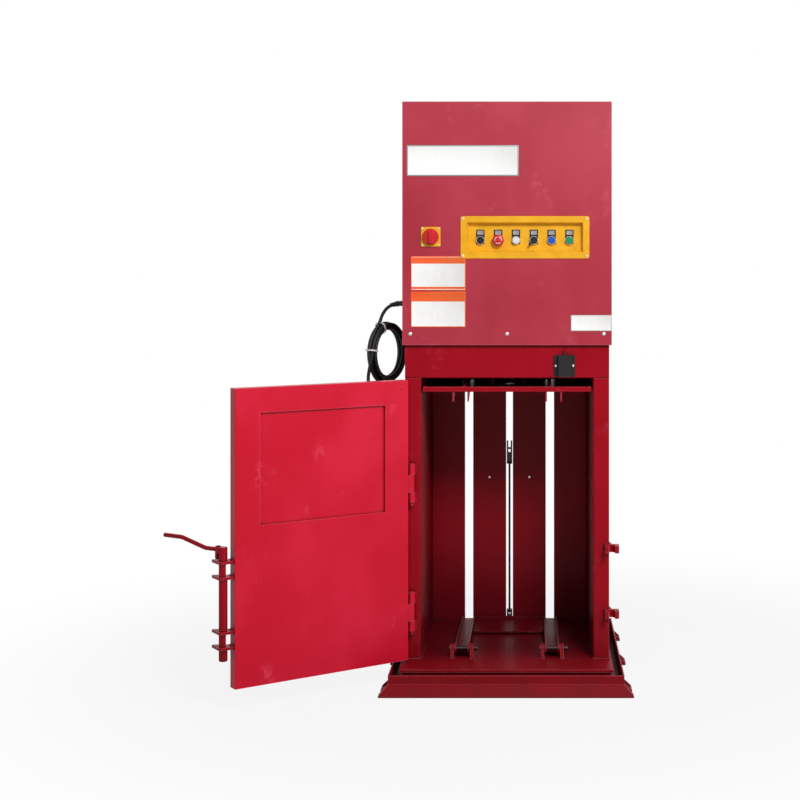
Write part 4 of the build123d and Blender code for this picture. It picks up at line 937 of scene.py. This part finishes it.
@dataclass
class WeldBeads:
    """Painted weld beads where plates, lugs and eyes are joined."""

    pitch: float = 0.0055
    width: float = 0.006
    wobble: float = 0.0004
    front: float = -0.2170
    foot: float = 0.0715

    def drop(self, name: str, place: Point, along: Vector) -> bpy.types.Object:
        """Shape one ripple of the bead.

        Args:
            name: The piece's name.
            place: Its middle.
            along: The bead's direction.

        Returns:
            The ripple.
        """
        Craft.clear()
        turn = along.to_track_quat("X", "Z").to_euler()
        size = (self.pitch * 0.85, self.width / 2, self.width / 2)
        bpy.ops.mesh.primitive_uv_sphere_add(
            segments=10, ring_count=6, radius=1, location=place, rotation=turn, scale=size
        )
        ripple = Craft.begin(name)
        Craft.faces(ripple, lambda face: face.calc_center_median().z > place[2])
        bpy.ops.transform.resize(value=(0.94, 0.94, 0.9))
        bpy.ops.object.mode_set(mode="OBJECT")
        return ripple

    def line(self, name: str, start: Point, end: Point) -> bpy.types.Object:
        """Run a bead from one place to another.

        Args:
            name: The piece's name.
            start: Its first ripple.
            end: Its last ripple.

        Returns:
            The bead.
        """
        run = Vector(end) - Vector(start)
        count = max(2, round(run.length / self.pitch))
        ripple = self.drop(name, start, run.normalized())
        step = run / count
        upright = abs(run.z) >= run.length / 2
        wobble = Vector((self.wobble, 0, 0)) if upright else Vector((0, 0, self.wobble))
        places = [tuple(step * index + wobble * sin(index * 2.1)) for index in range(1, count + 1)]
        return Craft.copies(ripple, places)

    def group(self, name: str, body: str, runs: list[Run]) -> None:
        """Lay several beads as one piece.

        Args:
            name: The piece's name.
            body: The body that it moves with.
            runs: Each bead's two ends.
        """
        beads = [self.line(f"{name}_{index}", *run) for index, run in enumerate(runs)]
        Craft.clear()
        for bead in beads:
            bead.select_set(True)
        bpy.context.view_layer.objects.active = beads[0]
        if len(beads) > 1:
            bpy.ops.object.join()
        beads[0].name = name
        Craft.finish(beads[0], body, Slot.RED)

    def build(self) -> None:
        """Lay the beads of every welded joint that shows."""
        self.group("ledge_weld", "frame", [((-0.345, -0.3475, 0.0580), (0.345, -0.3475, 0.0580))])
        self.group("column_welds", "frame", self.columns())
        self.group("keeper_welds", "frame", self.keepers())
        self.group("hinge_welds", "frame", self.eyes())
        self.group("ear_welds", "frame", self.ears())
        self.group("lug_welds", "door", self.lugs())

    def columns(self) -> list[Run]:
        """Find the beads at the feet of the two columns.

        Returns:
            Each bead's two ends.
        """
        inner, outer, rim = 0.3000, 0.3530, 0.2975
        front, foot = self.front, self.foot
        feet = [((side * inner, front, foot), (side * outer, front, foot)) for side in (-1, 1)]
        sides = [((side * rim, -0.2120, foot), (side * rim, 0.0, foot)) for side in (-1, 1)]
        return feet + sides

    def keepers(self) -> list[Run]:
        """Find the beads round the two keepers on the right column.

        Returns:
            Each bead's two ends.
        """
        lines = []
        for height in (0.233, 0.458):
            for edge in (-0.0135, 0.0135):
                level = height + edge
                lines.append(((0.3400, -0.2165, level), (0.3535, -0.2165, level)))
            lines.append(((0.3552, -0.2010, height - 0.012), (0.3552, -0.2010, height + 0.012)))
        return lines

    def eyes(self) -> list[Run]:
        """Find the beads on both sides of the four hinge eyes.

        Returns:
            Each bead's two ends.
        """
        reach = 0.015
        lines = []
        for height in (0.238, 0.682):
            for end in (-0.048, 0.048):
                low, high = height + end - reach, height + end + reach
                for across in (-0.3440, -0.3160):
                    lines.append(((across, self.front, low), (across, self.front, high)))
        return lines

    def ears(self) -> list[Run]:
        """Find the beads on both sides of the ejector's four ears.

        Returns:
            Each bead's two ends.
        """
        gap, inset = 0.001, 0.003
        lines = []
        for (left, front, low), (right, back, _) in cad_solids("pivot_ears"):
            first, last, level = front + inset, back - inset, low + gap
            for across in (left - gap, right + gap):
                lines.append(((across, first, level), (across, last, level)))
        return lines

    def lugs(self) -> list[Run]:
        """Find the beads above and below the four latch lugs on the door's edge.

        Returns:
            Each bead's two ends.
        """
        along, inner, outer = 0.6600, -0.027, 0.0
        lines = []
        for height in (0.208, 0.258, 0.433, 0.483):
            for edge in (-0.0052, 0.0052):
                level = height + edge
                lines.append((door_place(along, inner, level), door_place(along, outer, level)))
        return lines


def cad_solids(name: str) -> list[Run]:
    """Find the box of each loose solid of a node.

    Args:
        name: The node.

    Returns:
        The lowest and highest corner of each.
    """
    mesh = bmesh.new()
    mesh.from_mesh(frame["nodes"][name].data)
    bmesh.ops.remove_doubles(mesh, verts=mesh.verts, dist=1e-5)
    left = set(mesh.verts)
    boxes = []
    while left:
        front = [left.pop()]
        group = list(front)
        while front:
            for edge in front.pop().link_edges:
                for vert in edge.verts:
                    if vert in left:
                        left.remove(vert)
                        front.append(vert)
                        group.append(vert)
        low = tuple(min(vert.co[axis] for vert in group) for axis in range(3))
        high = tuple(max(vert.co[axis] for vert in group) for axis in range(3))
        boxes.append((low, high))
    mesh.free()
    return boxes


def door_place(along: float, inward: float, height: float) -> Point:
    """Find a place on the open door.

    Args:
        along: Distance from the hinge pin along the door.
        inward: Distance from the pin towards the door's inner side.
        height: Height above the ground.

    Returns:
        The place in the frame.
    """
    swing = radians(145)
    pin_x, pin_y = -0.330, -0.232
    x = pin_x + along * cos(swing) + inward * sin(swing)
    y = pin_y - along * sin(swing) + inward * cos(swing)
    return (x, y, height)


@dataclass
class ControlTrim:
    """Blank legend inserts, the switch plate's screws and the stop button's ring."""

    row: float = 0.062
    pitch: float = 0.0618
    front: float = -0.216
    insert_width: float = 0.021
    insert_low: float = 1.5425
    insert_high: float = 1.5565
    first_screw: Point = (-0.2925, -0.2356, 1.5065)
    screw_spacing: float = 0.057
    ring_front: float = -0.2364
    ring_height: float = 1.523

    def insert(self) -> bpy.types.Object:
        """Shape the first legend insert and copy it to the other plates.

        Returns:
            The inserts as one piece.
        """
        first = self.row - 2.5 * self.pitch
        half = self.insert_width / 2
        low = (first - half, self.front - 0.0007, self.insert_low)
        high = (first + half, self.front + 0.0004, self.insert_high)
        insert = Craft.block("legend_inserts", low, high)
        Craft.facing(insert, FRONT)
        bpy.ops.mesh.inset(thickness=0.0014, depth=0)
        bpy.ops.mesh.inset(thickness=0.0004, depth=-0.0003)
        Craft.round(insert, 0.0003, 2)
        return Craft.copies(insert, [(index * self.pitch, 0, 0) for index in range(1, 6)])

    def screws(self) -> bpy.types.Object:
        """Shape one socket screw and copy it to the switch plate's corners.

        Returns:
            The screws as one piece.
        """
        radius, depth, socket = 0.0026, 0.0016, 0.0009
        screw = Craft.rod("switch_screws", self.first_screw, radius, depth, QUARTER_TURN, 24)
        Craft.facing(screw, FRONT)
        bpy.ops.mesh.inset(thickness=0.0011, depth=0)
        bpy.ops.mesh.extrude_region_move(TRANSFORM_OT_translate={"value": (0, socket, 0)})
        Craft.round(screw, 0.0003, 2)
        span = self.screw_spacing
        return Craft.copies(screw, [(span, 0, 0), (0, 0, span), (span, 0, span)])

    def ring(self) -> bpy.types.Object:
        """Shape the pale turning ring on the stop button's cap, cut into three arcs.

        Returns:
            The ring.
        """
        Craft.clear()
        place = (self.row - 1.5 * self.pitch, self.ring_front, self.ring_height)
        bpy.ops.mesh.primitive_torus_add(
            major_radius=0.0115, minor_radius=0.0011, major_segments=48, minor_segments=8,
            location=place, rotation=QUARTER_TURN,
        )
        ring = Craft.begin("stop_ring")
        gaps = [Vector((cos(turn), 0, sin(turn))) for turn in (pi / 2, pi * 7 / 6, pi * 11 / 6)]
        gap_reach = 0.955  # The cosine of half a gap's angle

        def gap(face: bmesh.types.BMFace) -> bool:
            """Tell whether a face lies in one of the three gaps."""
            spot = (face.calc_center_median() - Vector(place)).normalized()
            return any(spot.dot(way) > gap_reach for way in gaps)

        Craft.faces(ring, gap)
        bpy.ops.mesh.delete(type="FACE")
        bpy.ops.mesh.select_mode(type="EDGE")
        bpy.ops.mesh.select_all(action="DESELECT")
        bpy.ops.mesh.select_non_manifold()
        bpy.ops.mesh.edge_face_add()
        bpy.ops.mesh.select_all(action="SELECT")
        bpy.ops.transform.resize(value=(1, 0.35, 1), center_override=place)
        bpy.ops.mesh.normals_make_consistent(inside=False)
        bpy.ops.object.mode_set(mode="OBJECT")
        return ring

    def build(self) -> None:
        """Set the inserts, the screws and the ring."""
        Craft.finish(self.insert(), "frame", Slot.BLACK, "grey film")
        Craft.finish(self.screws(), "frame", Slot.STEEL)
        Craft.finish(self.ring(), "stop_push", Slot.WHITE)


@dataclass
class StrainRelief:
    """Tapered rubber sleeve where the lead leaves its gland."""

    start: Point = (-0.3880, -0.0800, 1.3010)
    end: Point = (-0.4180, -0.0803, 1.2945)
    wide: float = 0.0108
    narrow: float = 0.0072
    groove: float = 0.0011
    grooves: tuple[Span, ...] = ((0.2, 0.3), (0.45, 0.55), (0.7, 0.8))

    def build(self) -> None:
        """Draw the taper, groove it and round its rims."""
        Craft.clear()
        first, last = Vector(self.start), Vector(self.end)
        length = (last - first).length
        turn = (last - first).to_track_quat("Z", "Y").to_euler()
        bpy.ops.mesh.primitive_cone_add(
            vertices=32, radius1=self.wide, radius2=self.narrow, depth=length,
            location=(first + last) / 2, rotation=turn,
        )
        sleeve = Craft.begin("strain_relief")
        way = (last - first).normalized()
        for share in (end for groove in self.grooves for end in groove):
            bpy.ops.object.mode_set(mode="EDIT")
            bpy.ops.mesh.select_all(action="SELECT")
            bpy.ops.mesh.bisect(plane_co=first.lerp(last, share), plane_no=way)
        for low, high in self.grooves:
            def inside(face: bmesh.types.BMFace, low: float = low, high: float = high) -> bool:
                """Tell whether a face lies round the sleeve in the groove."""
                share = (face.calc_center_median() - first).dot(way) / length
                return low < share < high and abs(face.normal.dot(way)) < 0.5

            Craft.faces(sleeve, inside)
            bpy.ops.mesh.extrude_region_shrink_fatten(TRANSFORM_OT_shrink_fatten={"value": -self.groove})
        Craft.round(sleeve, 0.0004, 2)
        Craft.finish(sleeve, "frame", Slot.BLACK, Slot.RUBBER)


@dataclass
class HolePlugs:
    """Zinc plated plugs in the two wire guide holes of the back wall."""

    place: Point = (0.0764, 0.3566, 0.6230)
    radius: float = 0.00396
    depth: float = 0.0044

    def build(self) -> None:
        """Turn one plug, round its rim and copy it to the other hole."""
        plug = Craft.rod("hole_plugs", self.place, self.radius, self.depth, QUARTER_TURN)
        Craft.facing(plug, FRONT)
        bpy.ops.mesh.inset(thickness=0.0012, depth=-0.0006)
        Craft.round(plug, 0.0003, 2)
        Craft.finish(Craft.copies(plug, [(-2 * self.place[0], 0, 0)]), "frame", Slot.STEEL)


@dataclass
class Studio:
    """Floor, lamps, sky and the camera of the photograph."""

    eye: Point = (0.083, -5.416, 1.420)
    lens: float = 67.44
    sensor: float = 36.0
    shift: Span = (-0.16375, -0.1625)
    floor_size: float = 60.0
    floor_height: float = -0.0005
    room_light: float = 0.30

    def lamp(self, name: str, place: Point, aim: Point, power: float, size: float) -> None:
        """Hang one soft lamp.

        Args:
            name: The lamp's name.
            place: Where it hangs.
            aim: What it points at.
            power: Its power, in watts.
            size: Its side.
        """
        data = bpy.data.lights.new(name, "AREA")
        data.energy = power
        data.size = size
        thing = bpy.data.objects.new(name, data)
        bpy.context.collection.objects.link(thing)
        thing.location = place
        thing.rotation_euler = (Vector(aim) - Vector(place)).to_track_quat("-Z", "Y").to_euler()

    @staticmethod
    def seen(tree: Tree) -> Link:
        """Tell the rays that show a surface from the rays that light others.

        Args:
            tree: The nodes to add to.

        Returns:
            1 for camera, glossy and transmission rays and 0 for the rest.
        """
        kinds = ("Is Camera Ray", "Is Glossy Ray", "Is Transmission Ray")
        first, second, third = (tree.add("ShaderNodeLightPath", output=kind) for kind in kinds)
        return (first + second + third).clamp()

    def floor(self) -> None:
        """Lay a white floor that keeps the shadow."""
        Craft.clear()
        bpy.ops.mesh.primitive_plane_add(size=self.floor_size, location=(0, 0, self.floor_height))
        floor = Craft.begin("floor")
        tree = Tree("studio floor")
        soft = tree.noise(1.2, 2.0)
        colour = tree.mix(soft, (0.50, 0.50, 0.50, 1), (0.53, 0.53, 0.53, 1))
        diffuse = tree.add("ShaderNodeBsdfDiffuse", inputs={"Color": colour})
        glow = tree.add("ShaderNodeEmission", inputs={"Color": WHITE_LIGHT, "Strength": 1.0})
        far = tree.add("ShaderNodeVectorMath", {"operation": "LENGTH"}, {0: tree.place}, "Value")
        near_share = 0.88
        share = self.seen(tree) * (near_share + far.above(0.9, 2.4) * (1 - near_share))
        tree.close(tree.add("ShaderNodeMixShader", inputs={0: share, 1: diffuse, 2: glow}))
        floor.data.materials.append(tree.owner)

    def sky(self) -> None:
        """Light the room evenly and show white behind the object."""
        tree = Tree("studio", world=True)
        bpy.context.scene.world = tree.owner
        pale: Colour = (0.96, 0.98, 1.0, 1)
        room = tree.add("ShaderNodeBackground", inputs={"Color": pale, "Strength": self.room_light})
        white = tree.add("ShaderNodeBackground", inputs={"Color": WHITE_LIGHT, "Strength": 1.0})
        tree.close(tree.add("ShaderNodeMixShader", inputs={0: self.seen(tree), 1: room, 2: white}))

    def build(self) -> None:
        """Set up the whole studio."""
        bpy.context.scene.view_settings.view_transform = "Standard"
        self.floor()
        self.sky()
        self.lamp("key lamp", (1.5, -4.0, 4.0), aim=(-0.1, 0, 1.1), power=186, size=1.2)
        self.lamp("side lamp", (4.0, -2.2, 2.2), aim=(0, 0, 0.9), power=40, size=1.6)
        data = bpy.data.cameras.new("camera")
        data.lens = self.lens
        data.sensor_width = self.sensor
        data.shift_x, data.shift_y = self.shift
        camera = bpy.data.objects.new("camera", data)
        camera.location = self.eye
        camera.rotation_euler = QUARTER_TURN
        bpy.context.collection.objects.link(camera)
        bpy.context.scene.camera = camera
        log.info("studio set")


def dress_nodes() -> None:
    """Give each node of the frame the finish of its slot."""
    for row in frame["record"]["subparts"]:
        finishes.dress(frame["nodes"][row["node"]], Slot(row["material_slot"]))
    for name in ("ejector_pins", "pull_rod"):
        finishes.dress(frame["nodes"][name], "oiled steel")
    # The hinge pins, eyes and knuckles take the door's lighter red as a painted highlight.
    for name in ("hinge_pins", "hinge_eyes", "door_knuckles"):
        finishes.dress(frame["nodes"][name], Slot.LIT_DOOR)
    log.info("%d nodes dressed", len(frame["nodes"]))


def main() -> None:
    """Build the studio, the finishes and the pieces."""
    logging.basicConfig(level=logging.INFO, format="%(name)s: %(message)s")
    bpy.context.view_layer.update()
    Studio().build()
    dress_nodes()
    MainsLead().build()
    StrainRelief().build()
    HolePlugs().build()
    FrontSigns().build()
    ControlTrim().build()
    WeldBeads().build()


if __name__ == "__main__":
    main()
